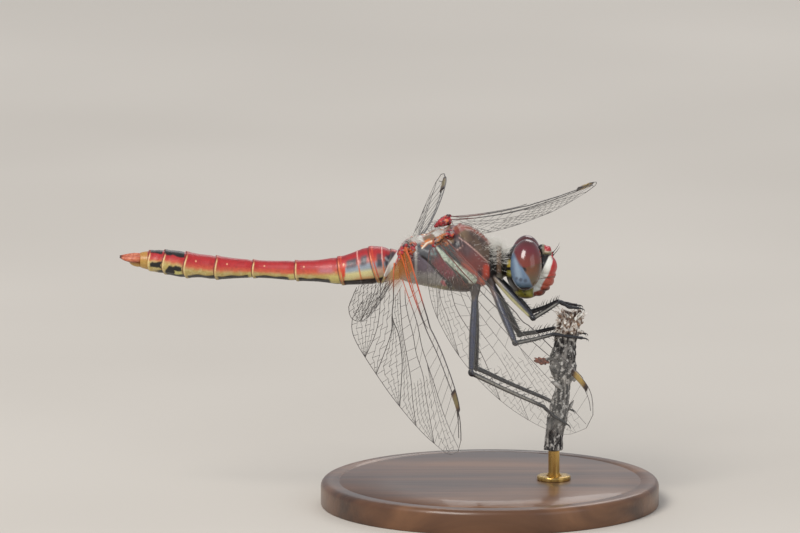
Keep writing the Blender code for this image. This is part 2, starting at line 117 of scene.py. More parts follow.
AIM = Vector((-7.97, 0.0, 21.37)) * MM
CAMERA_AWAY = 1.4947
CAMERA_LIFT = math.radians(10.0)
LENS_MM = 760.0
camera = bpy.data.objects.new("camera", bpy.data.cameras.new("camera"))
camera.data.lens = LENS_MM
camera.data.sensor_width = 36.0
camera.data.clip_start, camera.data.clip_end = 0.05, 30.0
camera.location = AIM + Vector((0.0, -math.cos(CAMERA_LIFT), math.sin(CAMERA_LIFT))) * CAMERA_AWAY
camera.rotation_euler = (math.radians(90.0) - CAMERA_LIFT, 0.0, 0.0)
bpy.context.scene.collection.objects.link(camera)
bpy.context.scene.camera = camera

# (name, place in metres, width in metres, watts, colour)
LAMPS = (("key_lamp", (-0.34, -0.50, 0.66), 0.40, 5.6, (1.0, 0.97, 0.92)),
         ("fill_lamp", (0.75, -0.60, 0.35), 0.60, 1.1, (0.93, 0.96, 1.0)),
         ("rim_lamp", (0.15, 0.70, 0.60), 0.45, 1.6, (1.0, 0.98, 0.95)))
for lamp_name, place, width, watts, colour in LAMPS:
    lamp = bpy.data.objects.new(lamp_name, bpy.data.lights.new(lamp_name, "AREA"))
    lamp.data.size = width
    lamp.data.energy = watts
    lamp.data.color = colour
    lamp.location = place
    lamp.rotation_euler = (AIM - Vector(place)).to_track_quat("-Z", "Y").to_euler()
    bpy.context.scene.collection.objects.link(lamp)
sky = bpy.data.worlds.new("sky")
sky.use_nodes = True
glow = sky.node_tree.nodes["Background"]
glow.inputs["Color"].default_value = (0.82, 0.86, 0.92, 1.0)
glow.inputs["Strength"].default_value = 0.50
bpy.context.scene.world = sky
bpy.context.scene.view_settings.view_transform = "Standard"


# ---- Display stand ----
# A turned walnut disc with a rounded rim and one scribed line, waxed, and a thin brass rod on a
# small round foot that is pinned into the disc and carries the cut end of the twig.
SHARP_EDGE = math.radians(40)


def pick(piece, kind, test):
    """Selects the faces or edges of a piece that pass a test, and opens it for editing."""
    mesh = piece.data
    mesh.vertices.foreach_set("select", [False] * len(mesh.vertices))
    mesh.edges.foreach_set("select", [False] * len(mesh.edges))
    mesh.polygons.foreach_set("select", [False] * len(mesh.polygons))
    if kind == "FACE":
        for face in mesh.polygons:
            face.select = test(face.center / MM, face.normal)
    else:
        for edge in mesh.edges:
            ends = [mesh.vertices[v].co / MM for v in edge.vertices]
            edge.select = test(ends[0], ends[1])
    bpy.context.tool_settings.mesh_select_mode = (False, kind == "EDGE", kind == "FACE")
    bpy.ops.object.mode_set(mode="EDIT")


def closed():
    """Leaves edit mode with all faces pointing outwards, and smooth but for the sharp edges."""
    bpy.ops.mesh.select_all(action="SELECT")
    bpy.ops.mesh.normals_make_consistent(inside=False)
    bpy.ops.object.mode_set(mode="OBJECT")
    bpy.ops.object.shade_smooth_by_angle(angle=SHARP_EDGE)


def rounded(piece, width_mm, steps, test):
    """Rounds the edges of a piece whose two ends pass a test."""
    pick(piece, "EDGE", test)
    bpy.ops.mesh.bevel(offset=width_mm * MM, segments=steps, profile=0.5, affect="EDGES")
    bpy.ops.object.mode_set(mode="OBJECT")


def turned(name, sides, radius, thickness, place):
    """A plain disc to be shaped as on a lathe; sizes in mm, place of its middle."""
    bpy.ops.object.select_all(action="DESELECT")
    bpy.ops.mesh.primitive_cylinder_add(vertices=sides, radius=radius * MM, depth=thickness * MM,
                                        location=place * MM)
    piece = bpy.context.active_object
    piece.name = name
    bpy.ops.object.transform_apply(location=True)
    return piece


def settle(piece, finish, slot, *nodes_replaced):
    """A finished piece: it gets its finish, rides on the body and stands for its solids."""
    piece.data.materials.append(finish)
    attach(piece, "root")
    if nodes_replaced:
        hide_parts(*nodes_replaced)


BASE_RADIUS, BASE_THICKNESS = 15.0, 2.2
# insets of the top, from the rim inwards: (width, sink)
SCRIBED_LINE = ((0.9, 0.0), (0.12, -0.10), (0.12, 0.0), (0.12, 0.10), (4.5, 0.0))
disc = turned("stand_disc", 144, BASE_RADIUS, BASE_THICKNESS, Vector((0.0, 0.0, BASE_THICKNESS / 2)))
rounded(disc, 0.55, 6, lambda a, b: min(a.z, b.z) > BASE_THICKNESS - 0.1)
rounded(disc, 0.12, 2, lambda a, b: max(a.z, b.z) < 0.05)
pick(disc, "FACE", lambda centre, normal: normal.z > 0.999 and centre.z > BASE_THICKNESS - 0.05)
for width, sink in SCRIBED_LINE:
    bpy.ops.mesh.inset(thickness=width * MM, depth=sink * MM)
closed()
walnut, nodes, links, shader = finish_of("waxed_walnut", tone(96, 62, 40), 0.38, Coat_Weight=0.25)
figure = grain(nodes, links, 5.0, stretch=(0.10, 1.0, 1.0), detail=6.0)
figure.inputs["Distortion"].default_value = 0.7
shade = shades(nodes, links, figure.outputs["Fac"], (0.32, tone(58, 36, 24)), (0.5, tone(98, 64, 41)),
               (0.68, tone(134, 93, 62)))
links.new(shade.outputs["Color"], shader.inputs["Base Color"])
pores = grain(nodes, links, 0.35, stretch=(0.05, 1.0, 1.0), detail=2.0)
relief(nodes, links, shader, pores.outputs["Fac"], 0.03, 0.6)
settle(disc, walnut, "wood", "stand_base")

ROD_X = 5.68
FOOT_RADIUS, FOOT_THICKNESS, FOOT_MIDDLE = 1.5, 0.35, 2.405
rod = turned("stand_rod_brass", 64, FOOT_RADIUS, FOOT_THICKNESS, Vector((ROD_X, 0.0, FOOT_MIDDLE)))
rounded(rod, 0.12, 4, lambda a, b: min(a.z, b.z) > FOOT_MIDDLE + 0.095)
pick(rod, "FACE", lambda _, normal: normal.z > 0.99)
bpy.ops.mesh.inset(thickness=0.70 * MM)
for lift, width in ((0.10, 0.12), (0.12, 0.06), (2.0, 0.0)):
    bpy.ops.mesh.extrude_region_move(TRANSFORM_OT_translate={"value": (0.0, 0.0, lift * MM)})
    if width:
        bpy.ops.mesh.inset(thickness=width * MM)
closed()
brass, nodes, links, shader = finish_of("polished_brass", tone(205, 168, 96), 0.24, Metallic=1.0)
rub = grain(nodes, links, 0.5, stretch=(1.0, 1.0, 0.12))
shade = shades(nodes, links, rub.outputs["Fac"], (0.3, tone(186, 146, 78)), (0.7, tone(222, 188, 118)))
links.new(shade.outputs["Color"], shader.inputs["Base Color"])
dull = shades(nodes, links, rub.outputs["Fac"], (0.3, grey(0.18)), (0.75, grey(0.36)))
links.new(dull.outputs["Color"], shader.inputs["Roughness"])
settle(rod, brass, "brass", "stand_rod")


# ---- Perch ----
# A short cut length of a dead shrub stem: grey cracked bark with pale lichen specks, knuckled where
# side shoots fell off, and a broken top whose brown wood has frayed into pale splinters.
def read(stations, x):
    """Smooth value at x along a row of (place, value) stations."""
    last = len(stations) - 1
    if x <= stations[0][0]:
        return stations[0][1]
    if x >= stations[last][0]:
        return stations[last][1]
    k = next(i for i in range(last) if x <= stations[i + 1][0])
    here, ahead = stations[k], stations[k + 1]
    before = stations[k - 1] if k else here
    after = stations[k + 2] if k + 2 <= last else ahead
    width = ahead[0] - here[0]
    leave = (ahead[1] - before[1]) / (ahead[0] - before[0])
    arrive = (after[1] - here[1]) / (after[0] - here[0])
    t = (x - here[0]) / width
    return ((2 * t ** 3 - 3 * t ** 2 + 1) * here[1] + (t ** 3 - 2 * t ** 2 + t) * width * leave
            + (3 * t ** 2 - 2 * t ** 3) * ahead[1] + (t ** 3 - t ** 2) * width * arrive)


def rolled(name, sides, rings, place):
    """A fine sheet rolled into a tube: place(turn, run), both 0 to 1, gives each point in mm."""
    bpy.ops.object.select_all(action="DESELECT")
    bpy.ops.mesh.primitive_grid_add(x_subdivisions=sides, y_subdivisions=rings, size=1.0)
    piece = bpy.context.active_object
    piece.name = piece.data.name = name
    for corner in piece.data.vertices:
        corner.co = place(corner.co.x + 0.5, corner.co.y + 0.5) * MM
    bpy.ops.object.mode_set(mode="EDIT")
    bpy.ops.mesh.select_all(action="SELECT")
    bpy.ops.mesh.remove_doubles(threshold=0.0004 * MM)
    bpy.ops.mesh.normals_make_consistent(inside=False)
    bpy.ops.object.mode_set(mode="OBJECT")
    bpy.ops.object.shade_smooth()
    return piece


def paint_on(piece, colour_at):
    """Stores a colour for every point of a piece, worked out from its place in mm."""
    store = piece.data.color_attributes.new("markings", "FLOAT_COLOR", "POINT")
    values = []
    for corner in piece.data.vertices:
        values.extend(colour_at(corner.co / MM))
    store.data.foreach_set("color", values)


def soft(x, low, high):
    """0 below low, 1 above high and smooth between; the two may be swapped."""
    t = min(max((x - low) / (high - low), 0.0), 1.0)
    return t * t * (3 - 2 * t)


def blend(under, over, share):
    return tuple(a + (b - a) * share for a, b in zip(under, over))


def markings(nodes):
    """The node that reads what paint_on stored."""
    stain = nodes.new("ShaderNodeVertexColor")
    stain.layer_name = "markings"
    return stain


def mixed(nodes, links, how, share, under, over):
    """One colour laid over another, by a blend mode."""
    mix = nodes.new("ShaderNodeMix")
    mix.data_type, mix.blend_type = "RGBA", how
    mix.inputs["Factor"].default_value = share
    links.new(under, mix.inputs["A"])
    links.new(over, mix.inputs["B"])
    return mix.outputs["Result"]


def rough_at(point, size_mm, octaves=3):
    """Cloudy value of about -1 to 1 at a point in mm."""
    return noise.fractal(point / size_mm, 1.0, 2.0, octaves)


TWIG_PATH_X = ((4.9, 5.68), (6.2, 5.75), (7.9, 6.02), (9.6, 6.25), (10.8, 6.45), (11.9, 6.50),
               (13.4, 6.52), (14.6, 6.72), (15.8, 6.95), (16.8, 7.15), (17.3, 7.22))
TWIG_RADIUS = ((4.9, 0.84), (6.2, 0.82), (7.9, 0.90), (8.6, 0.86), (9.6, 0.76), (10.8, 0.66), (11.3, 0.86),
               (11.9, 1.10), (13.4, 1.12), (14.6, 0.98), (15.3, 1.06), (15.8, 1.02), (16.4, 1.04),
               (16.8, 0.95), (17.25, 0.72))
TWIG_LOW, TWIG_HIGH = 4.9, 17.25
TWIG_CAP = 0.012


def capped(run, cap):
    """(share along a closed tube, how open it is) when both ends draw in over a cap's share."""
    return min(max((run - cap) / (1 - 2 * cap), 0.0), 1.0), min(1.0, run / cap, (1 - run) / cap)


def twig_surface(turn, run):
    share, closing = capped(run, TWIG_CAP)
    z = TWIG_LOW + (TWIG_HIGH - TWIG_LOW) * share
    angle = 2 * math.pi * turn
    around = Vector((math.cos(angle), math.sin(angle), 0.0))
    bend = Vector((read(TWIG_PATH_X, z), 0.0, z))
    radius = read(TWIG_RADIUS, z)
    radius *= 1 + 0.07 * math.sin(3 * angle + 0.8 * z) + 0.04 * math.sin(5 * angle - 1.7 * z)
    probe = bend + around * radius
    cracks = abs(rough_at(Vector((probe.x, probe.y, probe.z * 0.35)), 0.42))
    radius += 0.16 * min(cracks, 0.6) - 0.07 + 0.05 * rough_at(probe, 0.16, 2)
    torn = soft(z, 16.0, TWIG_HIGH)
    rise = torn * 0.45 * rough_at(Vector((around.x * 2, around.y * 2, 3.0)), 0.7)
    return bend + around * radius * closing ** 0.6 + Vector((0.0, 0.0, rise * closing))


def bark_colour(point):
    """Grey cracked bark, brown wood near the top; all of it flecked with near white."""
    flecks = rough_at(Vector((point.x, point.y, point.z * 0.6)), 0.26, 3)
    patches = rough_at(point, 1.1, 2)
    streaks = rough_at(Vector((point.x, point.y, point.z * 0.16)), 0.26, 3)
    colour = blend(tone(40, 38, 38), tone(134, 130, 126), soft(streaks, -0.30, 0.30))
    colour = blend(colour, tone(24, 23, 24), soft(patches, 0.15, 0.45) * 0.6)
    colour = blend(colour, tone(206, 203, 198), soft(flecks, 0.18, 0.42) * 0.85)
    worn = soft(point.z + 0.5 * patches, 14.9, 16.0)
    wood = blend(tone(92, 68, 54), tone(170, 146, 126), soft(streaks, -0.3, 0.4))
    wood = blend(wood, tone(236, 230, 222), soft(flecks, 0.02, 0.24) * 0.9)
    wood = blend(wood, tone(60, 40, 32), soft(patches, 0.1, 0.45) * 0.7)
    return blend(colour, wood, worn)


twig = rolled("perch_bark", 84, 300, twig_surface)
paint_on(twig, bark_colour)
bark, nodes, links, shader = finish_of("weathered_bark", tone(90, 86, 82), 0.88)
specks = grain(nodes, links, 0.11, stretch=(1.0, 1.0, 0.3), detail=3.0)
dapple = mixed(nodes, links, "OVERLAY", 0.55, markings(nodes).outputs["Color"], specks.outputs["Fac"])
links.new(dapple, shader.inputs["Base Color"])
relief(nodes, links, shader, specks.outputs["Fac"], 0.05, 0.8)
settle(twig, bark, "bark", "perch_twig")


def strands(name, paths, thickness_mm, rounding=0):
    """Many thin tapering rods in one mesh; each path is a row of (point in mm, share of thickness)."""
    bundle = bpy.data.curves.new(name, "CURVE")
    bundle.dimensions = "3D"
    bundle.bevel_depth = thickness_mm / 2 * MM
    bundle.bevel_resolution = rounding
    bundle.use_fill_caps = True
    for path in paths:
        line = bundle.splines.new("POLY")
        line.points.add(len(path) - 1)
        for knot, (point, share) in zip(line.points, path):
            knot.co = (point.x * MM, point.y * MM, point.z * MM, 1.0)
            knot.radius = share
    rods = bpy.data.objects.new(name, bundle)
    bpy.context.scene.collection.objects.link(rods)
    bpy.ops.object.select_all(action="DESELECT")
    rods.select_set(True)
    bpy.context.view_layer.objects.active = rods
    bpy.ops.object.convert(target="MESH")
    bpy.ops.object.shade_smooth()
    return bpy.context.active_object


# The frayed crown: splinters round the broken end, loose fibres down the side, and curled flakes.
SPLINTER_THICKNESS, STUB_THICKNESS = 0.19, 0.34
dice = random.Random(7)


def outward(angle):
    return Vector((math.cos(angle), math.sin(angle), 0.0))


splinters = []
for k in range(46):
    out = outward(2 * math.pi * (k + dice.random() * 0.8) / 46)
    root = Vector((7.15, 0.0, 16.4 + 0.5 * dice.random())) + out * (0.55 + 0.35 * dice.random())
    lean = out * (0.25 + 0.75 * dice.random()) + Vector((0.0, 0.0, 0.5 + 0.5 * dice.random()))
    reach = 0.5 + 0.75 * dice.random() ** 1.5
    curl = Vector((dice.uniform(-0.2, 0.2), dice.uniform(-0.2, 0.2), dice.uniform(-0.25, 0.15)))
    size = 0.5 + dice.random()
    splinters.append([(root - lean * 0.25, size), (root + lean * reach * 0.5, size * 0.8),
                      (root + lean * reach * 0.8 + curl * 0.4, size * 0.5),
                      (root + lean * reach + curl, size * 0.12)])
for _ in range(34):
    height = dice.choice((15.6, 15.9, 14.7, 11.3, 9.2, 16.1)) + dice.uniform(-0.35, 0.35)
    out = outward(math.radians(dice.uniform(120, 300)))
    root = Vector((read(TWIG_PATH_X, height), 0.0, height)) + out * read(TWIG_RADIUS, height) * 0.93
    reach = dice.uniform(0.2, 0.75)
    sag = Vector((0.0, 0.0, dice.uniform(-0.45, 0.35)))
    size = dice.uniform(0.2, 0.55)
    splinters.append([(root, size), (root + out * reach * 0.5 + sag * 0.2, size * 0.8),
                      (root + out * reach + sag, size * 0.15)])
for _ in range(30):
    out = outward(2 * math.pi * dice.random())
    root = Vector((7.05, 0.0, dice.uniform(15.5, 16.9))) + out * dice.uniform(0.85, 1.0)
    stray = Vector((dice.uniform(-0.5, 0.5), dice.uniform(-0.5, 0.5), dice.uniform(-0.6, 0.8)))
    flake = (out + stray) * 0.3
    size = dice.uniform(1.0, 1.9)
    splinters.append([(root, size), (root + flake * 0.5, size * 1.1), (root + flake, size * 0.3),
                      (root + flake * 1.1, size * 0.1)])
fray = strands("perch_splinters", splinters, SPLINTER_THICKNESS)


def splinter_colour(point):
    pale = soft(rough_at(point, 0.5, 2), -0.3, 0.25)
    low = soft(point.z, 15.0, 16.4)
    return blend(blend(tone(120, 112, 104), tone(222, 216, 206), pale),
                 blend(tone(150, 120, 98), tone(244, 240, 232), soft(pale, 0.1, 0.7)), low)


paint_on(fray, splinter_colour)
settle(fray, bark, "bark")

# What is left of side shoots: broken stubs and thorns, the last of them the stalk of a russet bud.
# each is a row of (x, y, z, share of the thickness)
STUBS = (((6.1, -0.4, 7.9, 2.6), (5.55, -0.75, 7.5, 2.4), (5.28, -0.85, 6.9, 1.9), (5.2, -0.9, 6.6, 1.1)),
         ((6.3, -0.4, 10.6, 1.6), (5.75, -0.7, 11.0, 1.2), (5.45, -0.8, 11.15, 0.5)),
         ((6.2, -0.5, 11.9, 2.2), (5.55, -0.75, 12.3, 1.7), (5.35, -0.8, 12.6, 0.9)),
         ((7.3, -0.3, 11.3, 1.8), (7.7, -0.4, 11.6, 1.3), (7.8, -0.4, 11.9, 0.5)),
         ((6.9, 0.2, 8.5, 1.3), (7.25, 0.25, 8.95, 0.8), (7.42, 0.25, 9.3, 0.15)),
         ((6.3, -0.3, 12.9, 1.3), (5.6, -0.6, 13.2, 1.0), (5.1, -0.8, 13.2, 0.8), (4.75, -0.85, 13.05, 0.8)))
stubs = [[(Vector((x, y, z)), share) for x, y, z, share in stub] for stub in STUBS]
snags = strands("perch_side_stubs", stubs, STUB_THICKNESS, rounding=2)
paint_on(snags, bark_colour)
settle(snags, bark, "bark")

bpy.ops.object.select_all(action="DESELECT")
bpy.ops.mesh.primitive_ico_sphere_add(subdivisions=4, radius=1.0)
bud = bpy.context.active_object
bud.name = "perch_bud"
for corner in bud.data.vertices:
    x, y, z = corner.co
    scales = 1 + 0.16 * math.sin(9 * x + 5 * z) + 0.22 * rough_at(corner.co, 0.45, 2)
    corner.co = Vector((4.55 + 0.62 * x * scales, -0.85 + 0.30 * y * scales,
                        13.02 + 0.30 * z * scales - 0.12 * x)) * MM


def bud_colour(point):
    return blend(tone(150, 84, 60), tone(92, 50, 40), soft(rough_at(point, 0.2), -0.2, 0.3))


paint_on(bud, bud_colour)
bpy.ops.object.shade_smooth()
settle(bud, bark, "bark")


# ---- Abdomen ----
# Ten ringed plates in one glossy skin. The rear rim of each flares over the next; the male is red
# above and ochre below, with a black line underneath and black patches on the last rings.
BODY_ORIGIN = Vector((-7.97, 0.0, 21.5))
ROLL = math.radians(14.0)


def body(x, left, up):
    """A place in mm from one on the body's own axes: x forwards, then left, then up its back."""
    return BODY_ORIGIN + Vector((x, left * math.cos(ROLL) - up * math.sin(ROLL),
                                 left * math.sin(ROLL) + up * math.cos(ROLL)))


def body_axes(point):
    """The other way: (x, left, up) of a place in mm."""
    rest = point - BODY_ORIGIN
    return (rest.x, rest.y * math.cos(ROLL) + rest.z * math.sin(ROLL),
            rest.z * math.cos(ROLL) - rest.y * math.sin(ROLL))


def flank_height(left, up):
    """Height of a spot on the sloping side, as one sees it from a little above."""
    return 0.91 * up - 0.41 * abs(left)


RING_ENDS = (-0.80, -2.80, -5.60, -9.38, -13.14, -16.44, -19.18, -21.07, -22.36)
ABDOMEN_RADIUS = ((-22.95, 0.62), (-22.2, 0.83), (-20.6, 1.02), (-18.9, 1.09), (-17.7, 0.98), (-16.2, 0.99),
                  (-14.6, 0.85), (-13.0, 0.76), (-11.5, 0.75), (-8.85, 0.87), (-7.1, 0.94), (-5.2, 1.21),
                  (-4.4, 1.33), (-2.55, 1.60), (-1.35, 1.48), (-0.80, 1.31), (0.4, 1.25))
ABDOMEN_AXIS = ((-22.95, 0.51), (-22.0, 0.44), (-20.6, 0.30), (-19.1, 0.07), (-17.7, -0.05), (-16.2, -0.23),
                (-13.0, -0.35), (-8.85, -0.53), (-5.2, -0.50), (-4.4, -0.37), (-2.55, 0.01), (0.4, 0.05))
ABDOMEN_WIDTH = ((-23.0, 1.12), (-16.0, 1.10), (-9.0, 1.04), (0.0, 1.04))
ABDOMEN_START, ABDOMEN_END, ABDOMEN_CAP = -0.10, -22.98, 0.008
# how far each rim leans forwards from the back to the belly, how far its top is bowed forwards,
# and the raised cross ribs of rings 2 and 3
RIM_LEAN = (-0.95, 0.90, 0.45, 0.15, 0.05, 0.0, 0.0, 0.0, 0.0)
RIM_BOW = (0.0, 0.0, 0.05, 0.10, 0.15, 0.20, 0.32, 0.30, 0.20)
CROSS_RIBS = ((-1.62, 0.45), (-3.80, 0.55))


def past_rim(x, height, n):
    """How far x lies in front of the nth rim; height is 1 on the back and -1 on the belly."""
    return x - (RING_ENDS[n] + RIM_LEAN[n] * (1 - height) / 2 + RIM_BOW[n] * height ** 2)


def abdomen_surface(turn, run):
    share, closing = capped(run, ABDOMEN_CAP)
    x = ABDOMEN_START + (ABDOMEN_END - ABDOMEN_START) * share
    angle = 2 * math.pi * turn - math.pi / 2
    side, height = math.cos(angle), math.sin(angle)
    radius = read(ABDOMEN_RADIUS, x)
    swell = 0.0
    for n in range(len(RING_ENDS)):
        gap = past_rim(x, height, n)
        if -0.8 < gap < 0.8:
            swell += 0.055 * soft(gap, 0.55, 0.06) if gap > 0 else -0.05 * soft(gap, -0.6, -0.02)
    for place, lean in CROSS_RIBS:
        gap = x - place - lean * (1 - height) / 2
        swell += 0.035 * math.exp(-(gap / 0.07) ** 2)
    keel = 0.05 * radius * max(0.0, height) ** 8
    pleat = 0.035 * math.exp(-((math.degrees(math.asin(height)) + 31) / 5) ** 2)
    flat = 1.0 + 0.06 * soft(-height, 0.55, 0.8)
    wide = radius * read(ABDOMEN_WIDTH, x)
    reach = closing ** 0.5
    return body(x, (wide + swell + pleat) * side * reach,
                read(ABDOMEN_AXIS, x) + ((radius * flat + swell) * height + keel) * reach)


RED, RED_DEEP, SALMON = tone(180, 34, 38), tone(134, 20, 30), tone(204, 92, 66)
OCHRE, STRAW, BLACK = tone(194, 170, 100), tone(216, 204, 146), tone(16, 13, 13)
SLATE, MIST = tone(56, 62, 72), tone(146, 160, 172)
# height on the side, in degrees above the middle, where red gives way to salmon, salmon to ochre
RED_EDGE = ((-22.9, 46.0), (-19.6, 47.0), (-19.0, 38.0), (-16.0, 36.0), (-13.0, 35.0), (-9.2, 36.0),
            (-5.4, 42.0), (-4.2, 52.0), (0.0, 56.0))
OCHRE_EDGE = ((-22.9, 26.0), (-19.6, 23.0), (-19.0, 10.0), (-13.0, 2.0), (-9.2, 0.0), (-5.4, 12.0),
              (-2.5, 10.0))


def patch(x, slope, x_low, x_high, slope_low, slope_high, edge_mm=0.10, edge_deg=7.0):
    """1 inside a soft-edged oblong of the side, 0 outside."""
    return (soft(x, x_low - edge_mm, x_low + edge_mm) * soft(x, x_high + edge_mm, x_high - edge_mm)
            * soft(slope, slope_low - edge_deg, slope_low + edge_deg)
            * soft(slope, slope_high + edge_deg, slope_high - edge_deg))


def near_line(x, y, path, spread):
    """1 on a bent line of (x, y, half width), fading to 0 over spread beyond it."""
    best = 0.0
    for (x0, y0, w0), (x1, y1, w1) in zip(path, path[1:]):
        dx, dy = x1 - x0, y1 - y0
        t = min(max(((x - x0) * dx + (y - y0) * dy) / (dx * dx + dy * dy), 0.0), 1.0)
        off = math.hypot(x - x0 - dx * t, y - y0 - dy * t) - (w0 + (w1 - w0) * t)
        best = max(best, soft(off, spread, -spread * 0.3))
    return best


def lined(colour, x, y, bands):
    """A colour with bent bands laid over it; a band is (colour, share, spread, path)."""
    for shade, share, spread, path in bands:
        colour = blend(colour, shade, near_line(x, y, path, spread) * share)
    return colour


# slate windows between the front rings' orange ribs: (rear, front, lowest, highest slope)
WINDOWS = ((-4.75, -3.82, 27, 62), (-3.50, -2.92, 27, 62), (-2.05, -1.56, 12, 62), (-1.32, -0.45, 8, 62))
# a dark patch with a painted highlight for its gleam, and the whitish slanting band next to the thorax
WAIST_BANDS_AND_HIGHLIGHT = ((tone(52, 57, 66), 0.9, 0.18, ((-0.62, 0.95, 0.20), (-1.05, 0.25, 0.24))),
               (tone(150, 156, 160), 0.8, 0.1, ((-1.28, 0.62, 0.06), (-1.10, 0.42, 0.06))),
               (tone(218, 218, 212), 1.0, 0.10, ((-0.20, 1.06, 0.10), (-0.75, 0.05, 0.20),
                                                 (-1.28, -0.90, 0.12))))
PALE_DOTS = (-18.05, -15.3, -12.0, -8.5, -5.0)
# straw corners at the front foot of rings 4, 5 and 6: (rim ahead, reach)
STRAW_CORNERS = ((2, 0.95), (3, 0.6), (4, 0.35))
WINDOW_8 = (-19.95, -19.32, -34, -12)


def abdomen_colour(point):
    x, left, up = body_axes(point)
    rise = up - read(ABDOMEN_AXIS, x)
    slope = math.degrees(math.atan2(rise, abs(left) / read(ABDOMEN_WIDTH, x)))
    height = math.sin(math.radians(slope))
    cloud = rough_at(point, 0.5, 3)
    fray = rough_at(point, 0.42, 2)
    red_edge = read(RED_EDGE, x) + 5 * cloud
    ochre_edge = read(OCHRE_EDGE, x) + 5 * cloud
    colour = blend(OCHRE, STRAW, soft(cloud, -0.3, 0.5) * 0.6)
    colour = blend(colour, SALMON, soft(slope, ochre_edge - 14, ochre_edge + 14))
    colour = blend(colour, RED, soft(slope, red_edge - 24, red_edge + 6))
    colour = blend(colour, RED_DEEP, soft(slope, 62, 90) * 0.55 + 0.25 * soft(cloud, 0.1, 0.6))
    # the swollen front rings: slate windows over straw sides, parted by orange ribs
    if x > -5.3:
        front = soft(x, -5.1, -4.7)
        colour = blend(colour, STRAW, front * soft(slope, 24, 12))
        colour = blend(colour, MIST, front * patch(x, slope, -5.0, -0.3, 10, 34, 0.2, 8) * 0.95)
        for x_low, x_high, low, high in WINDOWS:
            window = patch(x, slope, x_low, x_high, low, high, 0.16, 9)
            colour = blend(colour, SLATE, window * (0.95 - 0.2 * soft(cloud, 0.1, 0.5)))
        colour = blend(colour, tone(196, 150, 140), patch(x, slope, -2.2, -0.9, -16, 16, 0.2, 8) * 0.7)
        colour = blend(colour, tone(214, 122, 64), patch(x, slope, -4.0, -2.3, -34, -14, 0.4, 8) * 0.5)
        colour = blend(colour, tone(206, 62, 36), patch(x, slope, -5.12, -4.86, -6, 52, 0.08, 8))
    # the straw rims and the dark seam behind each
    for n in range(len(RING_ENDS)):
        gap = past_rim(x, height, n)
        if -0.5 < gap < 0.6:
            pale = tone(222, 120, 62) if n in (1, 2) else tone(226, 200, 138)
            rim = soft(gap, 0.0, 0.05) * soft(gap, 0.19, 0.09) * soft(slope, -55, -35)
            rim *= (1 - 0.85 * soft(slope, 48, 75)) * (0.75 + 0.25 * soft(cloud, -0.3, 0.2))
            colour = blend(colour, pale, rim)
            seam = soft(gap, -0.14, -0.03) * soft(gap, 0.03, -0.02)
            colour = blend(colour, tone(92, 30, 20), seam * 0.85)
            if n < 3:
                glow = soft(gap, 0.20, 0.26) * soft(gap, 0.42, 0.32)
                colour = blend(colour, tone(205, 70, 40), glow * 0.8)
    for place, lean in CROSS_RIBS:
        gap = abs(x - place - lean * (1 - height) / 2)
        colour = blend(colour, blend(tone(214, 110, 60), tone(218, 150, 142), soft(slope, 10, 45)),
                       soft(gap, 0.08, 0.04) * soft(slope, -40, -20) * 0.9)
    # a pale dot on the side of each middle ring
    for place in PALE_DOTS:
        off = math.hypot(x - place, (slope - 47) / 57 * 0.85)
        colour = blend(colour, tone(232, 170, 130), soft(off, 0.10, 0.05))
    # the waist bands, with a painted highlight on the dark patch
    colour = lined(colour, x, flank_height(left, up), WAIST_BANDS_AND_HIGHLIGHT)
    # black: the line under the sides, the saddles and flank patches of rings 8 and 9
    line_top = -22.0 - 6.0 * soft(x, -16.0, -19.0)
    fray_edge = 3 * math.sin(4.1 * x) * soft(x, -6.0, -8.0)
    line = soft(slope, line_top + 3 + fray_edge, line_top - 5 + fray_edge)
    for n in range(len(RING_ENDS)):
        gap = past_rim(x, height, n)
        line *= 1 - 0.7 * soft(gap, -0.05, 0.02) * soft(gap, 0.35, 0.2)
    colour = blend(colour, BLACK, line * soft(x, -21.9, -21.2) * soft(x, -0.6, -1.4))
    for n, reach in STRAW_CORNERS:
        gap = past_rim(x, height, n)
        corner = soft(gap, -reach - 0.12, -reach + 0.12) * soft(gap, -0.05, -0.12)
        corner *= soft(slope, -56, -48) * soft(slope, 6, -8)
        colour = blend(colour, tone(214, 200, 122), corner * 0.9)
    # a painted mauve pink sheen on the mid flank of ring 4
    colour = blend(colour, tone(176, 140, 160), patch(x, slope, -7.2, -5.9, 12, 32, 0.3, 12) * 0.5)
    saddle = 63 - 6 * soft(x, -20.2, -19.4)
    for rear, fore, low in ((-20.78, -19.08, saddle), (-22.12, -20.98, 69.0)):
        ragged = patch(x + 0.10 * fray, slope + 6 * fray, rear, fore, low, 120, 0.05, 4)
        colour = blend(colour, BLACK, ragged)
    torn_x, torn_slope = x + 0.12 * fray, slope + 8 * fray
    rear_edge = -20.55 + 0.012 * max(slope, -20)
    flank = patch(torn_x, torn_slope, rear_edge, -19.30, -44, 12, 0.08, 5)
    flank *= 1 - patch(torn_x, slope + 6 * fray, *WINDOW_8, 0.07, 5)
    colour = blend(colour, BLACK, flank)
    top_edge = 26 - 14 * soft(x, -21.3, -21.8) + 8 * cloud
    colour = blend(colour, BLACK, patch(torn_x, torn_slope, -22.12, -21.10, -14, top_edge, 0.07, 5))
    yellow = patch(torn_x, slope + 6 * fray, *WINDOW_8, 0.07, 4)
    colour = blend(colour, tone(206, 200, 120), yellow * 0.9)
    colour = blend(colour, tone(184, 140, 62), soft(x, -22.25, -22.4) * 0.85)
    # the belly plates
    return blend(colour, tone(74, 46, 34), soft(slope, -52, -66) * 0.9)


abdomen = rolled("abdomen_skin", 112, 640, abdomen_surface)
paint_on(abdomen, abdomen_colour)


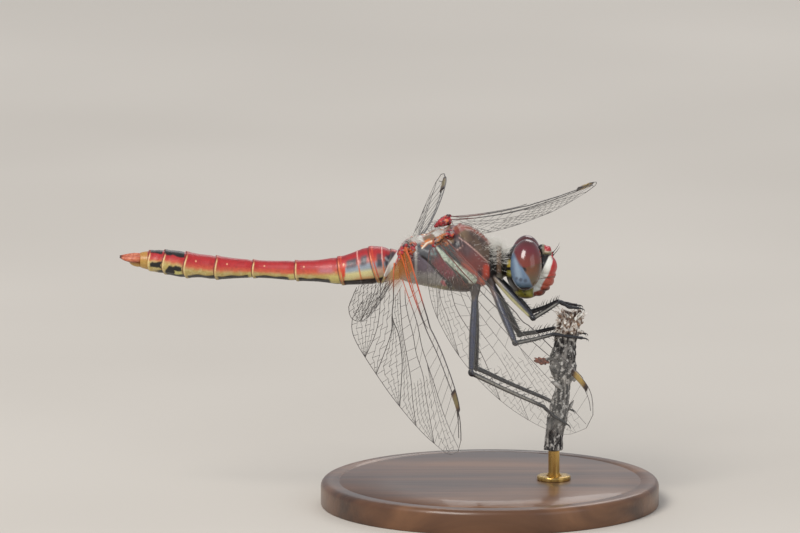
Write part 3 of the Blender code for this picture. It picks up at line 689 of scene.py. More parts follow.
def cuticle(name, roughness, coat, pit_mm=0.045, pit_depth_mm=0.012):
    """Painted insect shell: its markings with a fine mottle, under a clear gloss, finely pitted."""
    made, nodes, links, shader = finish_of(name, tone(150, 60, 40), roughness, Coat_Weight=coat,
                                           Coat_Roughness=0.14, Specular_IOR_Level=0.5)
    specks = grain(nodes, links, 0.12, detail=4.0)
    dapple = mixed(nodes, links, "OVERLAY", 0.35, markings(nodes).outputs["Color"], specks.outputs["Fac"])
    links.new(dapple, shader.inputs["Base Color"])
    wear = shades(nodes, links, specks.outputs["Fac"], (0.3, grey(roughness * 0.8)),
                  (0.7, grey(min(1.0, roughness * 1.3))))
    links.new(wear.outputs["Color"], shader.inputs["Roughness"])
    pits = grain(nodes, links, pit_mm, kind="ShaderNodeTexVoronoi")
    relief(nodes, links, shader, pits.outputs["Distance"], pit_depth_mm, 0.6)
    return made


settle(abdomen, cuticle("abdomen_cuticle", 0.38, 0.2), "abdomen",
       *["abdomen_%d" % number for number in range(1, 11)])


# ---- Tail claspers ----
# Two spindle-shaped upper claspers with dark tips, toothed below, over one short plate.
def limb_skin(name, path, radii, sides=20, rings=60):
    """Tapering rod along a smooth path of points in mm, with closed rounded ends."""
    knots = [Vector(point) for point in path]
    along = [0.0]
    for start, stop in zip(knots, knots[1:]):
        along.append(along[-1] + (stop - start).length)
    total = along[-1]
    tracks = [[(d / total, knot[axis]) for d, knot in zip(along, knots)] for axis in range(3)]
    girths = [(d / total, radius) for d, radius in zip(along, radii)]

    def spine(t):
        return Vector([read(track, t) for track in tracks])

    frames = []
    side = None
    for k in range(rings + 1):
        t = k / rings
        ahead = (spine(min(t + 0.01, 1.0)) - spine(max(t - 0.01, 0.0))).normalized()
        side = ahead.orthogonal() if side is None else side - ahead * side.dot(ahead)
        side.normalize()
        frames.append((spine(t), side.copy(), ahead.cross(side)))

    def place(turn, run):
        centre, across, over = frames[round(run * rings)]
        angle = 2 * math.pi * turn
        closing = min(1.0, run * rings / 2, (1 - run) * rings / 2) ** 0.5
        radius = read(girths, run) * closing
        return centre + across * (math.cos(angle) * radius) + over * (math.sin(angle) * radius)

    return rolled(name, sides, rings, place)


def joined(name, parts):
    bpy.ops.object.select_all(action="DESELECT")
    for part in parts:
        part.select_set(True)
    bpy.context.view_layer.objects.active = parts[0]
    bpy.ops.object.join()
    parts[0].name = parts[0].data.name = name
    return parts[0]


CLASPER = ((-22.80, 0.30, 0.74), (-23.10, 0.34, 0.75), (-23.5, 0.36, 0.72), (-24.2, 0.29, 0.72),
           (-24.82, 0.14, 0.82))
CLASPER_RADII = (0.20, 0.25, 0.28, 0.21, 0.05)
LOWER_PLATE = ((-22.80, 0.12), (-23.2, 0.16), (-23.6, 0.24), (-23.95, 0.36))
LOWER_PLATE_RADII = (0.26, 0.30, 0.26, 0.10)
claspers = []
for side in (1, -1):
    path = [body(x, side * left, up) for x, left, up in CLASPER]
    claspers.append(limb_skin("clasper", path, CLASPER_RADII))
path = [body(x, 0.0, up) for x, up in LOWER_PLATE]
claspers.append(limb_skin("lower_plate", path, LOWER_PLATE_RADII))
tail = joined("tail_claspers", claspers)


def clasper_colour(point):
    x, _, up = body_axes(point)
    colour = blend(tone(208, 122, 88), tone(186, 92, 64), soft(rough_at(point, 0.3), -0.3, 0.3))
    colour = blend(colour, tone(190, 150, 84), soft(up, 0.45, 0.25))
    groove = soft(up, 0.62, 0.52) * soft(up, 0.40, 0.46) * soft(x, -23.2, -23.5)
    colour = blend(colour, tone(90, 30, 26), groove)
    return blend(colour, tone(48, 30, 26), soft(x, -24.45, -24.8))


paint_on(tail, clasper_colour)
settle(tail, cuticle("clasper_cuticle", 0.4, 0.2), "appendage", "cercus_L", "cercus_R", "epiproct")


# ---- Thorax ----
# The box of flight muscle, its side plates meeting in slanting seams: brown in front, then russet,
# a mint-white stripe, maroon and mauve grey, with the collar and the narrow neck ahead of it.
TRUNK_WIDTH = ((-0.10, 1.25), (0.70, 1.75), (1.80, 2.15), (3.50, 2.42), (4.90, 2.48), (6.05, 2.38),
               (7.10, 2.10), (7.90, 1.70), (8.30, 1.36), (8.42, 1.28), (8.60, 1.48), (8.95, 1.45),
               (9.12, 1.15), (9.25, 0.98), (9.65, 0.95))
TRUNK_HEIGHT = ((-0.10, 1.25), (0.70, 1.85), (1.80, 2.15), (3.50, 2.62), (4.90, 2.92), (6.05, 2.95),
                (7.10, 2.45), (7.90, 1.85), (8.30, 1.52), (8.42, 1.42), (8.60, 1.68), (8.95, 1.62),
                (9.12, 1.25), (9.25, 1.08), (9.65, 1.05))
TRUNK_CENTRE = ((-0.10, 0.12), (0.70, 0.42), (1.80, 0.50), (3.50, 0.60), (4.90, 0.66), (6.05, 0.68),
                (7.10, 0.55), (7.90, 0.30), (8.35, 0.14), (8.60, 0.10), (8.95, 0.05), (9.65, 0.0))
TRUNK_START, TRUNK_LENGTH, TRUNK_CAP = -0.10, 9.75, 0.01
SEAM_TILT = math.radians(44.0)
# grooves over the seams: (place across the seams, where it begins and ends along them, depth)
SEAM_GROOVES = ((1.85, 0.7, 4.8, 0.13), (2.92, 1.5, 5.2, 0.06), (3.58, 1.2, 5.6, 0.10),
                (5.50, 1.8, 6.4, 0.09))
# plates that bulge between the seams: (place across, width, height of the bulge)
PLATE_BULGES = ((1.85, 1.07, 0.07), (3.6, 1.9, 0.06))


def seam_axes(x, left, up):
    """(across, along) the slanting side seams, from a place on the body's axes."""
    rise = flank_height(left, up)
    return (x * math.sin(SEAM_TILT) + rise * math.cos(SEAM_TILT),
            x * math.cos(SEAM_TILT) - rise * math.sin(SEAM_TILT))


def trunk_point(turn, x, swell=0.0):
    angle = 2 * math.pi * turn - math.pi / 2
    c, s = math.cos(angle), math.sin(angle)
    square = 2.3 if x < 8.3 else 2.0
    reach = (abs(c) ** square + abs(s) ** square) ** (-1 / square)
    return ((read(TRUNK_WIDTH, x) + swell) * reach * c,
            read(TRUNK_CENTRE, x) + (read(TRUNK_HEIGHT, x) + swell) * reach * s)


def trunk_surface(turn, run):
    share, closing = capped(run, TRUNK_CAP)
    x = TRUNK_START + TRUNK_LENGTH * share
    left, up = trunk_point(turn, x)
    across, along = seam_axes(x, left, up)
    flank = soft(abs(left), 0.9, 1.5) * soft(x, 1.0, 1.6) * soft(x, 8.2, 7.8)
    swell = 0.0
    for seam, low, high, depth in SEAM_GROOVES:
        ends = soft(along, low, low + 0.4) * soft(along, high, high - 0.4)
        swell -= depth * math.exp(-((across - seam) / 0.09) ** 2) * ends * flank
    for seam, width, height in PLATE_BULGES:
        swell += height * flank * math.sin(math.pi * min(max((across - seam) / width, 0.0), 1.0))
    # the back between the wings is a row of low plates, the ridge in front of them a sharp fold
    back = soft(up, 2.2, 2.7) * soft(x, 5.2, 4.6)
    swell += back * (0.10 * math.cos(4.2 * x) - 0.05 + 0.10 * rough_at(Vector((x, left, up)), 0.6, 2))
    fold = math.exp(-((x - 5.05 - 0.25 * abs(left)) / 0.16) ** 2) * soft(up, 2.0, 2.8)
    keel = math.exp(-(left / 0.08) ** 2) * soft(x, 5.2, 5.6) * soft(up, 0.8, 1.2)
    swell += 0.16 * fold + 0.05 * keel
    swell += 0.02 * rough_at(Vector((x, left, up)), 0.35, 3)
    left, up = trunk_point(turn, x, swell)
    centre = read(TRUNK_CENTRE, x)
    reach = closing ** 0.5
    return body(x, left * reach, centre + (up - centre) * reach)


MINT, MAROON, MAUVE = tone(196, 210, 190), tone(112, 42, 52), tone(104, 94, 104)
RUSSET, UMBER, SOOT = tone(124, 66, 62), tone(94, 74, 60), tone(24, 20, 21)
# bands as lined takes them; the points of a path are (x, height on the side, half width)
REAR_BANDS = ((tone(196, 108, 112), 1.0, 0.12, ((3.75, -1.5, 0.12), (3.95, -1.7, 0.12))),)
# a painted teal highlight on the slate upper part of the next plate
MIDDLE_PLATE_HIGHLIGHT = ((tone(120, 150, 150), 0.8, 0.14, ((2.80, 0.98, 0.05), (3.10, 0.96, 0.05))),)
RUSSET_BANDS = ((tone(198, 84, 52), 0.8, 0.08, ((5.45, 0.20, 0.03), (5.90, -0.10, 0.03),
                                                (6.35, -0.50, 0.04), (6.8, -0.85, 0.05))),
                (tone(206, 76, 54), 0.9, 0.2, ((7.62, -0.20, 0.20), (7.66, -0.75, 0.22))),
                (tone(214, 106, 74), 0.9, 0.2, ((7.25, -1.25, 0.18), (7.32, -1.60, 0.20))),
                (tone(52, 46, 54), 0.85, 0.15, ((7.00, -0.65, 0.12), (7.10, -0.85, 0.12))),
                (tone(34, 33, 40), 0.9, 0.12, ((4.70, 1.98, 0.16), (5.12, 1.74, 0.18))),
                (tone(196, 160, 150), 0.7, 0.06, ((5.05, 1.32, 0.02), (5.55, 1.66, 0.02))))
MINT_STRIPE = ((3.30, 1.52, 0.06), (3.95, 0.72, 0.23), (4.65, 0.05, 0.33), (5.20, -0.45, 0.38),
               (5.80, -0.95, 0.42), (6.42, -1.28, 0.37))
CREASES = (((3.55, 1.62, 0.02), (4.15, 0.85, 0.03), (4.75, 0.20, 0.02)),
           ((4.95, -0.10, 0.015), (5.45, -0.62, 0.02), (6.1, -1.15, 0.015)))
SEAM_LINES = (((1.88, 0.76, 0.05), (2.44, 0.44, 0.07), (2.89, -0.12, 0.07), (3.38, -0.72, 0.06),
               (4.06, -1.35, 0.08), (4.52, -1.81, 0.10)),
              ((4.05, 0.30, 0.03), (4.70, -0.40, 0.06), (5.10, -0.80, 0.13), (5.85, -1.44, 0.17)),
              ((4.10, -1.55, 0.10), (4.45, -1.95, 0.14)))
FRONT_BANDS = ((tone(206, 168, 158), 0.85, 0.06, ((5.20, 2.42, 0.02), (6.01, 1.83, 0.03),
                                                  (6.85, 1.11, 0.03), (7.76, 0.27, 0.02))),)
OCHRE_RIDGE = ((2.05, 1.75, 0.16), (2.45, 2.1, 0.14), (3.2, 2.05, 0.20), (3.75, 2.15, 0.28),
               (4.05, 1.95, 0.2))
BACK_BANDS = ((tone(232, 218, 196), 1.0, 0.06, ((1.95, 1.48, 0.04), (2.35, 1.92, 0.05), (2.8, 2.12, 0.04))),
              (tone(134, 28, 32), 0.7, 0.18, ((4.7, 2.75, 0.20), (5.2, 3.05, 0.14), (5.6, 3.2, 0.08))))


def trunk_colour(point):
    x, left, up = body_axes(point)
    rise = flank_height(left, up)
    across, along = seam_axes(x, left, up)
    cloud, fine = rough_at(point, 0.9, 3), rough_at(point, 0.25, 2)
    # rear plate: mauve grey, paler below and ochre at its lower edge
    colour = blend(MAUVE, tone(158, 156, 150), soft(rise + 0.3 * cloud, -0.3, -1.3) * 0.85)
    colour = blend(colour, tone(66, 60, 68), soft(rise, 0.1, 0.9) * 0.6)
    colour = blend(colour, tone(150, 138, 70), soft(rise, -1.55, -2.1) * 0.85)
    colour = lined(colour, x, rise, REAR_BANDS)
    # next plate: slate above with a painted teal highlight, maroon with a rosy heart below
    plate = soft(across, 1.80, 1.95)
    tint = blend(tone(70, 72, 76), MAROON, soft(along, 1.5, 2.3))
    tint = lined(tint, x, rise, MIDDLE_PLATE_HIGHLIGHT)
    tint = blend(tint, tone(158, 74, 88), soft(fine, -0.1, 0.5) * soft(along, 2.0, 2.8) * 0.6)
    tint = blend(tint, tone(66, 48, 40), soft(along + 0.3 * cloud, 3.85, 4.35) * 0.9)
    tint = blend(tint, tone(112, 96, 60), soft(fine, 0.0, 0.4) * soft(along, 4.9, 5.5) * 0.6)
    colour = blend(colour, tint, plate)
    # russet plate ahead of the stripe: slate at the top, rosy brown, with orange points at the front
    plate = soft(across, 3.50, 3.64)
    tint = blend(tone(62, 64, 66), RUSSET, soft(along + 0.4 * cloud, 2.3, 3.3))
    tint = blend(tint, tone(56, 59, 62), soft(across, 4.16, 4.0) * soft(along, 4.05, 3.75) * 0.95)
    tint = blend(tint, tone(84, 66, 68), soft(across, 4.3, 4.7) * soft(along, 4.6, 3.4) * 0.85)
    tint = blend(tint, tone(172, 88, 78), soft(along, 3.6, 4.6) * soft(across, 4.6, 4.0) * 0.6)
    tint = lined(tint, x, rise, RUSSET_BANDS)
    colour = blend(colour, tint, plate)
    # the mint stripe, widening down to the legs, with a fine dark crease
    stripe = near_line(x, rise, MINT_STRIPE, 0.07)
    mint = blend(MINT, tone(132, 146, 128), soft(fine, 0.0, 0.5) * 0.7)
    mint = blend(mint, tone(225, 230, 215), soft(along, 2.2, 3.2) * soft(fine, 0.1, -0.3) * 0.7)
    colour = blend(colour, mint, stripe)
    for crease in CREASES:
        colour = blend(colour, tone(52, 60, 54), near_line(x, rise, crease, 0.05) * 0.75)
    for seam in SEAM_LINES:
        colour = blend(colour, SOOT, near_line(x, rise, seam, 0.07) * 0.92)
    # brown front, parted from the russet plate by a pale line
    front = soft(across, 5.46, 5.60)
    tint = blend(UMBER, tone(74, 54, 46), soft(cloud, -0.2, 0.4))
    tint = blend(tint, tone(142, 116, 84), soft(x, 6.2, 5.2) * 0.6)
    tint = blend(tint, tone(150, 74, 54), soft(abs(left), 0.75, 0.1) * 0.8)
    colour = blend(colour, tint, front)
    colour = lined(colour, x, rise, FRONT_BANDS)
    # between the wings: whitish skin, olive and brown plates, and the red ridge in front of them
    back = soft(rise, 1.75, 2.1) * soft(across, 5.45, 5.2) * soft(x, 4.9, 4.6)
    tint = blend(tone(196, 194, 186), tone(122, 98, 74), soft(cloud + 0.6 * math.sin(3.0 * x), -0.3, 0.5))
    tint = blend(tint, tone(150, 70, 66), soft(fine, 0.15, 0.5) * 0.6)
    colour = blend(colour, tint, back)
    ridge = near_line(x, rise, OCHRE_RIDGE, 0.16) * soft(fine, -0.6, 0.1)
    colour = blend(colour, tone(206, 116, 50), ridge)
    colour = lined(colour, x, rise, BACK_BANDS)
    # waist skin, collar and neck
    colour = blend(colour, tone(186, 184, 178), soft(x, 1.62, 1.40) * soft(x, 1.20, 1.40) * 0.8)
    colour = blend(colour, tone(136, 112, 66), soft(x, 1.35, 1.0) * soft(rise, 0.9, -0.6) * 0.8)
    colour = blend(colour, tone(58, 46, 40), soft(x, 1.2, 0.6) * soft(rise, 0.4, 1.2) * 0.8)
    colour = blend(colour, SOOT, soft(x, 7.82, 8.02))
    collar = soft(x, 8.50, 8.58) * soft(x, 9.0, 8.92) * soft(rise, -0.9, -0.4)
    colour = blend(colour, tone(112, 84, 62), collar * (0.55 + 0.45 * soft(fine, -0.3, 0.3)))
    colour = blend(colour, tone(176, 168, 150), soft(x, 8.45, 8.6) * soft(rise, -0.7, -1.1) * 0.5)
    # sooty brown between the legs
    underside = soft(rise, -1.75, -2.2) * soft(x, 3.7, 4.4) * soft(x, 8.2, 7.4)
    return blend(colour, tone(52, 40, 34), underside * 0.9)


thorax = rolled("thorax_skin", 150, 300, trunk_surface)
paint_on(thorax, trunk_colour)
settle(thorax, cuticle("thorax_cuticle", 0.42, 0.18, pit_mm=0.06), "thorax",
       "thorax", "prothorax", "neck")


# ---- Wing roots ----
# Each wing hangs on a knot of small hard plates, shiny red with orange and black corners, set in
# the upper edge of the thorax.
def fused(name, lumps, grain_mm, smoothing=4):
    """Ellipsoids melted into one closed skin; a lump is (centre mm, half axes mm, turn degrees)."""
    parts = []
    bpy.ops.object.select_all(action="DESELECT")
    for centre, half_axes, turn in lumps:
        bpy.ops.mesh.primitive_uv_sphere_add(segments=32, ring_count=20, radius=1.0, location=centre,
                                             rotation=[math.radians(a) for a in turn], scale=half_axes)
        parts.append(bpy.context.active_object)
    whole = joined(name, parts)
    bpy.ops.object.transform_apply(location=True, rotation=True, scale=True)
    whole.data.remesh_voxel_size = grain_mm
    bpy.ops.object.voxel_remesh()
    for kind in ("SMOOTH", "TRIANGULATE"):
        bpy.ops.object.modifier_add(type=kind)
    whole.modifiers[0].iterations = smoothing
    for modifier in list(whole.modifiers):
        bpy.ops.object.modifier_apply(modifier=modifier.name)
    for corner in whole.data.vertices:
        corner.co = corner.co * MM
    bpy.ops.object.shade_smooth()
    return whole


WINGS = {
    "hindwing_R": dict(length=28.0, side=-1, hinge=(0.45, 1.45, 2.45), sweep=11.0, droop=9.5,
                       bend=-7.0, root_pitch=66.0, tip_pitch=80.0, twist_reach=0.4, camber=-20.0),
    "hindwing_L": dict(length=28.0, side=1, hinge=(1.05, 1.45, 1.95), sweep=7.5, droop=8.5,
                       bend=-30.0, root_pitch=37.0, tip_pitch=61.0, twist_reach=0.1, camber=18.0),
    "forewing_R": dict(length=28.5, side=-1, hinge=(3.80, 1.45, 3.45), sweep=29.5, droop=9.0,
                       bend=-13.5, root_pitch=40.0, tip_pitch=62.0, twist_reach=0.4, camber=17.0),
    "forewing_L": dict(length=28.5, side=1, hinge=(4.25, 1.45, 4.10), sweep=31.5, droop=13.0,
                       bend=-13.5, root_pitch=30.0, tip_pitch=48.0, twist_reach=0.6, camber=-15.0),
}


# lumps of a root: (place behind, outside and above the hinge, half axes)
ROOT_LUMPS = (((0.45, -0.20, -0.25), (0.60, 0.42, 0.40)), ((-0.05, -0.05, -0.02), (0.26, 0.28, 0.17)),
              ((0.25, 0.14, -0.06), (0.20, 0.34, 0.13)), ((0.95, -0.02, -0.28), (0.30, 0.30, 0.22)),
              ((0.60, 0.14, 0.0), (0.17, 0.30, 0.12)), ((0.10, -0.35, -0.35), (0.46, 0.33, 0.36)),
              ((0.35, -0.10, 0.10), (0.14, 0.22, 0.12)), ((1.22, -0.10, -0.30), (0.22, 0.2, 0.16)))
SHOULDER_LUMPS = (((-0.70, -0.22, -0.42), (0.52, 0.46, 0.46)), ((-0.48, 0.0, -0.12), (0.28, 0.30, 0.22)),
                  ((-0.95, -0.18, -0.45), (0.32, 0.36, 0.34)))
# plates that run down from a root: (place on the body's axes, half axes, turn in degrees)
STRUT_LUMPS = (((1.04, -1.30, 2.00), (0.40, 0.30, 0.40), (30.0, 0.0, 0.0)),
               ((0.90, -1.60, 1.62), (0.26, 0.24, 0.40), (30.0, 8.0, 0.0)),
               ((0.84, -1.74, 1.30), (0.17, 0.20, 0.28), (30.0, 8.0, 0.0)),
               ((1.18, -0.88, 2.36), (0.32, 0.36, 0.26), (30.0, 0.0, 0.0)),
               ((0.72, -1.32, 2.22), (0.34, 0.30, 0.26), (30.0, 0.0, 0.0)))


def blotch(point, offset, size_mm, low, high):
    """How far a spot lies in one of the blotches of a pattern of its own, set by the offset."""
    return soft(rough_at(point + Vector(offset), size_mm, 2), low, high)


def root_colour(point):
    colour = blend(tone(178, 34, 42), tone(128, 24, 34), blotch(point, (0, 0, 0), 0.55, -0.2, 0.4))
    colour = blend(colour, tone(198, 100, 48), blotch(point, (9, 0, 0), 0.45, 0.16, 0.4))
    x, left, _ = body_axes(point)
    strut = soft(x, 4.15, 3.9) * soft(x, 3.0, 3.3) * soft(left, 0.0, -0.5)
    colour = blend(colour, tone(178, 112, 52), strut * 0.85)
    colour = blend(colour, tone(150, 140, 136), blotch(point, (0, 0, 9), 0.35, 0.26, 0.42) * 0.8)
    return blend(colour, SOOT, blotch(point, (0, 9, 0), 0.35, 0.12, 0.32) * 0.9)


hinge_shell = cuticle("hinge_cuticle", 0.36, 0.3)
for wing_name, wing in WINGS.items():
    pitch = math.radians(wing["root_pitch"])
    side = wing["side"]
    hx, hl, hu = wing["hinge"]

    def knot(back, out, lift):
        return body(hx - back * math.cos(pitch), side * (hl + out), hu - back * math.sin(pitch) + lift)

    tilt = (14.0, -wing["root_pitch"] * 0.5, 0.0)
    lumps = [(knot(*place), half_axes, tilt) for place, half_axes in ROOT_LUMPS]
    if wing_name == "hindwing_R":
        lumps += [(body(*place), half_axes, turn) for place, half_axes, turn in STRUT_LUMPS]
    if wing_name == "forewing_R":
        lumps += [(knot(*place), half_axes, tilt) for place, half_axes in SHOULDER_LUMPS]
    boss = fused("wing_root_" + wing_name, lumps, 0.04, 1)
    for corner in boss.data.vertices:
        corner.co += corner.normal * (0.05 * rough_at(corner.co / MM, 0.22, 3)) * MM
    paint_on(boss, root_colour)
    settle(boss, hinge_shell, "wingroot", "wingroot_" + wing_name)


# ---- Head ----
# Hard plates round the mouth and brow, cream at the sides and red in front, on a black capsule that
# is hollow behind and has yellow corners behind the eyes; two hairlike feelers on the brow.
HEAD_ORIGIN = Vector((3.54, 0.0, 21.41))


def on_head(x, left, up):
    return HEAD_ORIGIN + Vector((x, left, up))


def face_height(left, up):
    """Height of a spot on the head, as one sees it from a little above."""
    return up - 0.176 * abs(left)


# lumps of the head: (place ahead, left and above, half axes, how far it nods in degrees)
HEAD_LUMPS = (((-0.85, 0.0, -0.12), (1.36, 2.33, 2.16), 0), ((1.28, 0.0, 0.02), (1.14, 1.42, 1.08), 12),
              ((1.20, 0.0, 0.46), (0.98, 1.05, 0.62), 20), ((0.78, 0.0, -1.00), (1.42, 1.24, 0.86), 20),
              ((1.18, 0.0, -0.58), (1.16, 1.26, 0.55), 15), ((0.66, 0.0, -1.45), (1.24, 1.18, 0.55), 28),
              ((0.32, 0.0, -1.80), (1.18, 1.18, 0.76), 30), ((0.10, 0.70, -2.05), (0.70, 0.45, 0.50), 20),
              ((0.10, -0.70, -2.05), (0.70, 0.45, 0.50), 20), ((-0.35, 0.0, -2.20), (1.15, 1.25, 0.70), 0),
              ((1.50, 0.0, 1.28), (0.46, 0.55, 0.56), 0), ((1.10, 0.0, 1.42), (0.46, 0.50, 0.56), 0),
              ((1.60, 0.27, 1.52), (0.26, 0.26, 0.26), 0), ((1.60, -0.27, 1.52), (0.26, 0.26, 0.26), 0),
              ((1.86, 0.62, 1.00), (0.20, 0.20, 0.20), 0), ((1.86, -0.62, 1.00), (0.20, 0.20, 0.20), 0))
lumps = [(on_head(*place), half_axes, (0, nod, 0)) for place, half_axes, nod in HEAD_LUMPS]
head = fused("head_skin", lumps, 0.055, 8)
# seams between the plates: (height at the front, fall towards the back, depth)
FACE_SEAMS = ((-1.06, 0.16, 0.035), (-1.98, 0.35, 0.05))
for corner in head.data.vertices:
    x, left, up = (corner.co / MM) - HEAD_ORIGIN
    level = face_height(left, up)
    inwards = (Vector((0.3, 0.0, -0.6)) - Vector((x, left, up))).normalized()
    for height, fall, depth in FACE_SEAMS:
        gap = level - height - fall * (x - 1.4)
        corner.co += inwards * (depth * math.exp(-(gap / 0.06) ** 2) * soft(x, 0.3, 0.6)) * MM
    dent = math.exp(-(left / 0.16) ** 2) * soft(up, -0.1, 0.5) * soft(x, 1.3, 1.9)
    corner.co += inwards * (0.10 * dent) * MM
CREAM, FACE_RED, OLIVE = tone(236, 235, 226), tone(196, 44, 40), tone(124, 118, 34)
# how far ahead the black ground ends, and the red begins, by the height on the face
BLACK_EDGE = ((-2.7, 0.20), (-1.78, 0.32), (-1.20, 0.62), (-0.82, 0.84), (0.02, 1.26), (0.71, 1.58),
              (1.0, 1.72))
RED_FRONT = ((-1.94, 0.90), (-1.35, 1.21), (-0.72, 1.63), (-0.08, 1.84), (0.40, 1.98), (0.70, 1.96),
             (1.0, 1.80))
THROAT_BANDS = ((tone(172, 166, 62), 0.8, 0.2, ((-0.15, -2.45, 0.1), (0.08, -2.65, 0.12))),)


def head_colour(point):
    x, left, up = point - HEAD_ORIGIN
    level = face_height(left, up)
    cloud = rough_at(point, 0.5, 3)
    # face
    red = blend(FACE_RED, tone(172, 78, 54), soft(level, -0.2, -1.5) * 0.9)
    red = blend(red, tone(188, 36, 58), soft(level, 0.2, 0.8) * 0.6)
    colour = blend(CREAM, tone(200, 206, 202), soft(level, -0.4, -1.4) * 0.7)
    edge = read(RED_FRONT, level)
    colour = blend(colour, red, soft(x + 0.05 * cloud, edge - 0.07, edge + 0.07))
    colour = blend(colour, red, soft(abs(left), 0.62, 0.42) * soft(x, 0.8, 1.1))
    seam = level + 1.06 - 0.16 * (x - 1.4)
    colour = blend(colour, tone(110, 84, 70), soft(abs(seam), 0.07, 0.02) * soft(x, 0.4, 0.8) * 0.8)
    # upper lip and jaws
    lip = 0.35 * (x - 1.4)
    jaw = soft(level, -1.90 + lip, -2.02 + lip) * soft(x, 0.20, 0.38)
    colour = blend(colour, blend(tone(128, 50, 32), tone(84, 34, 24), soft(cloud, -0.2, 0.4)), jaw)
    # black ground between eye and face, round the brow and behind
    edge = read(BLACK_EDGE, level)
    ground = soft(x, edge + 0.06, edge - 0.06)
    ground = max(ground, soft(level, 0.86, 0.98) * soft(x, 2.0, 1.8))
    colour = blend(colour, SOOT, ground)
    # brow knob: red on top, a pale band, olive below
    knob = soft(up, 1.10, 1.2) * soft(x, 1.0, 1.15)
    tint = blend(tone(120, 112, 78), tone(206, 190, 168), soft(level, 1.14, 1.30))
    tint = blend(tint, tone(176, 44, 52), soft(level + 0.1 * cloud, 1.28, 1.46))
    tint = blend(tint, tone(132, 124, 102), soft(x, 1.36, 1.18))
    colour = blend(colour, tint, knob * soft(level, 0.98, 1.08))
    # cheeks and throat: olive yellow under a dark band
    jowl = level - 0.18 * (x + 1.4)
    throat = soft(jowl, -1.85, -2.0) * soft(x, 0.34, 0.20)
    olive = blend(OLIVE, tone(66, 58, 18), soft(cloud, -0.1, 0.4))
    olive = lined(olive, x, level, THROAT_BANDS)
    lower = soft(jowl + 0.12 * cloud, -2.18, -2.36) * soft(x, -1.6, -1.2)
    colour = blend(colour, blend(tone(58, 46, 36), olive, lower), throat)
    # behind the eye: a yellow corner, a black bar, a longer green-yellow corner
    back = soft(x, -1.58, -1.76) * soft(abs(left), 0.6, 1.0)
    corner = back * soft(level, -0.14, -0.04) * soft(level, 0.66, 0.40)
    colour = blend(colour, tone(196, 172, 70), corner * 0.9)
    corner = back * soft(level, -0.34, -0.44) * soft(level, -1.1, -0.7)
    return blend(colour, tone(158, 152, 66), corner * 0.85)


paint_on(head, head_colour)
settle(head, cuticle("face_cuticle", 0.36, 0.25, pit_mm=0.07), "face",
       "head_capsule", "frons", "clypeus", "labrum", "labium", "vertex")

FEELER_THICKNESS = 0.11
# a feeler from its socket outwards: (ahead, aside, up, share of the thickness)
FEELER = ((0.0, 0.0, 0.0, 1.6), (0.14, 0.04, 0.10, 1.5), (0.22, 0.08, 0.18, 0.55),
          (0.42, 0.18, 0.40, 0.42), (0.62, 0.28, 0.70, 0.3), (0.72, 0.34, 0.92, 0.1))
feelers = []
for side in (1, -1):
    root = on_head(1.90, 0.62 * side, 1.02)
    feelers.append([(root + Vector((ahead, aside * side, up)), share) for ahead, aside, up, share in FEELER])
feelers = strands("feelers", feelers, FEELER_THICKNESS, rounding=2)
paint_on(feelers, lambda point: SOOT)
settle(feelers, cuticle("feeler_cuticle", 0.45, 0.1), "antenna", "antenna_L", "antenna_R")


# ---- Eyes ----
# Two great glossy compound eyes that touch on top: maroon above, brown at the front below, and
# blue grey at the back and below, where dark spots float. Thousands of tiny facets pave them.
MAROON_FLOOR = ((-1.7, 1.9), (-1.47, 1.48), (-1.36, 1.0), (-0.95, 0.20), (-0.60, -0.12), (0.06, 0.04),
                (0.88, 0.30), (1.4, 0.4))
BLUE_TOP = ((-1.7, 1.9), (-1.40, 1.10), (-0.98, 0.16), (-0.70, -0.16), (-0.50, -0.50), (-0.10, -1.08),
            (0.12, -1.65), (0.5, -2.0))
DARK_STREAK = ((-0.62, -0.10, 0.10), (-0.44, -0.40, 0.06))
PALE_SHEEN = ((-1.30, 0.55, 0.05), (-1.18, -0.2, 0.12), (-1.02, -0.9, 0.16))
# dark spots in the blue: (place ahead, height, radius)
EYE_SPOTS = ((-0.84, -1.22, 0.08), (-0.43, -1.32, 0.08), (-1.22, -1.10, 0.05))
EYE_CENTRE, EYE_HALF_AXES = (-0.36, 1.35, 0.34), (1.42, 1.50, 2.28)
EYE_LEAN, EYE_NOD = math.radians(14.0), math.radians(3.0)


def eye_colour(point):
    x, left, up = point - HEAD_ORIGIN
    level = face_height(left, up)
    cloud = rough_at(point, 0.7, 2)
    maroon = blend(tone(132, 58, 44), tone(112, 40, 50), soft(level, 0.3, 1.5))
    maroon = blend(maroon, tone(82, 30, 32), soft(level, 1.5, 2.3))
    brown = blend(tone(122, 70, 40), tone(108, 88, 60), soft(level, -0.3, -1.3))
    brown = blend(brown, tone(40, 24, 18), near_line(x, level, DARK_STREAK, 0.14))
    brown = blend(brown, tone(62, 42, 30), soft(x, 0.5, 0.95) * 0.7)
    blue = blend(tone(112, 136, 164), tone(150, 172, 194), near_line(x, level, PALE_SHEEN, 0.3))
    blue = blend(blue, tone(84, 108, 124), soft(level, -1.35, -1.85) * 0.8)
    for spot_x, spot_level, size in EYE_SPOTS:
        off = math.hypot(x - spot_x, level - spot_level)
        blue = blend(blue, tone(58, 70, 92), soft(off, size + 0.16, size) * 0.7)
    edge = read(MAROON_FLOOR, x)
    colour = blend(brown, maroon, soft(level + 0.05 * cloud, edge - 0.06, edge + 0.08))
    edge = read(BLUE_TOP, x)
    haze = 0.10 + 0.30 * soft(level, -0.4, 0.5)
    under = soft(level + 0.05 * cloud, edge + haze, edge - haze)
    rim = soft(abs(level - edge - 0.06), 0.20, 0.02) * soft(level, -0.2, -0.7)
    colour = blend(blend(colour, blue, under), tone(132, 116, 112), rim * 0.35)
    colour = blend(colour, tone(52, 42, 42), soft(level, -1.78, -1.98) * 0.9)
    return blend(colour, tone(30, 20, 18), soft(x, 0.95, 1.18) * 0.8)


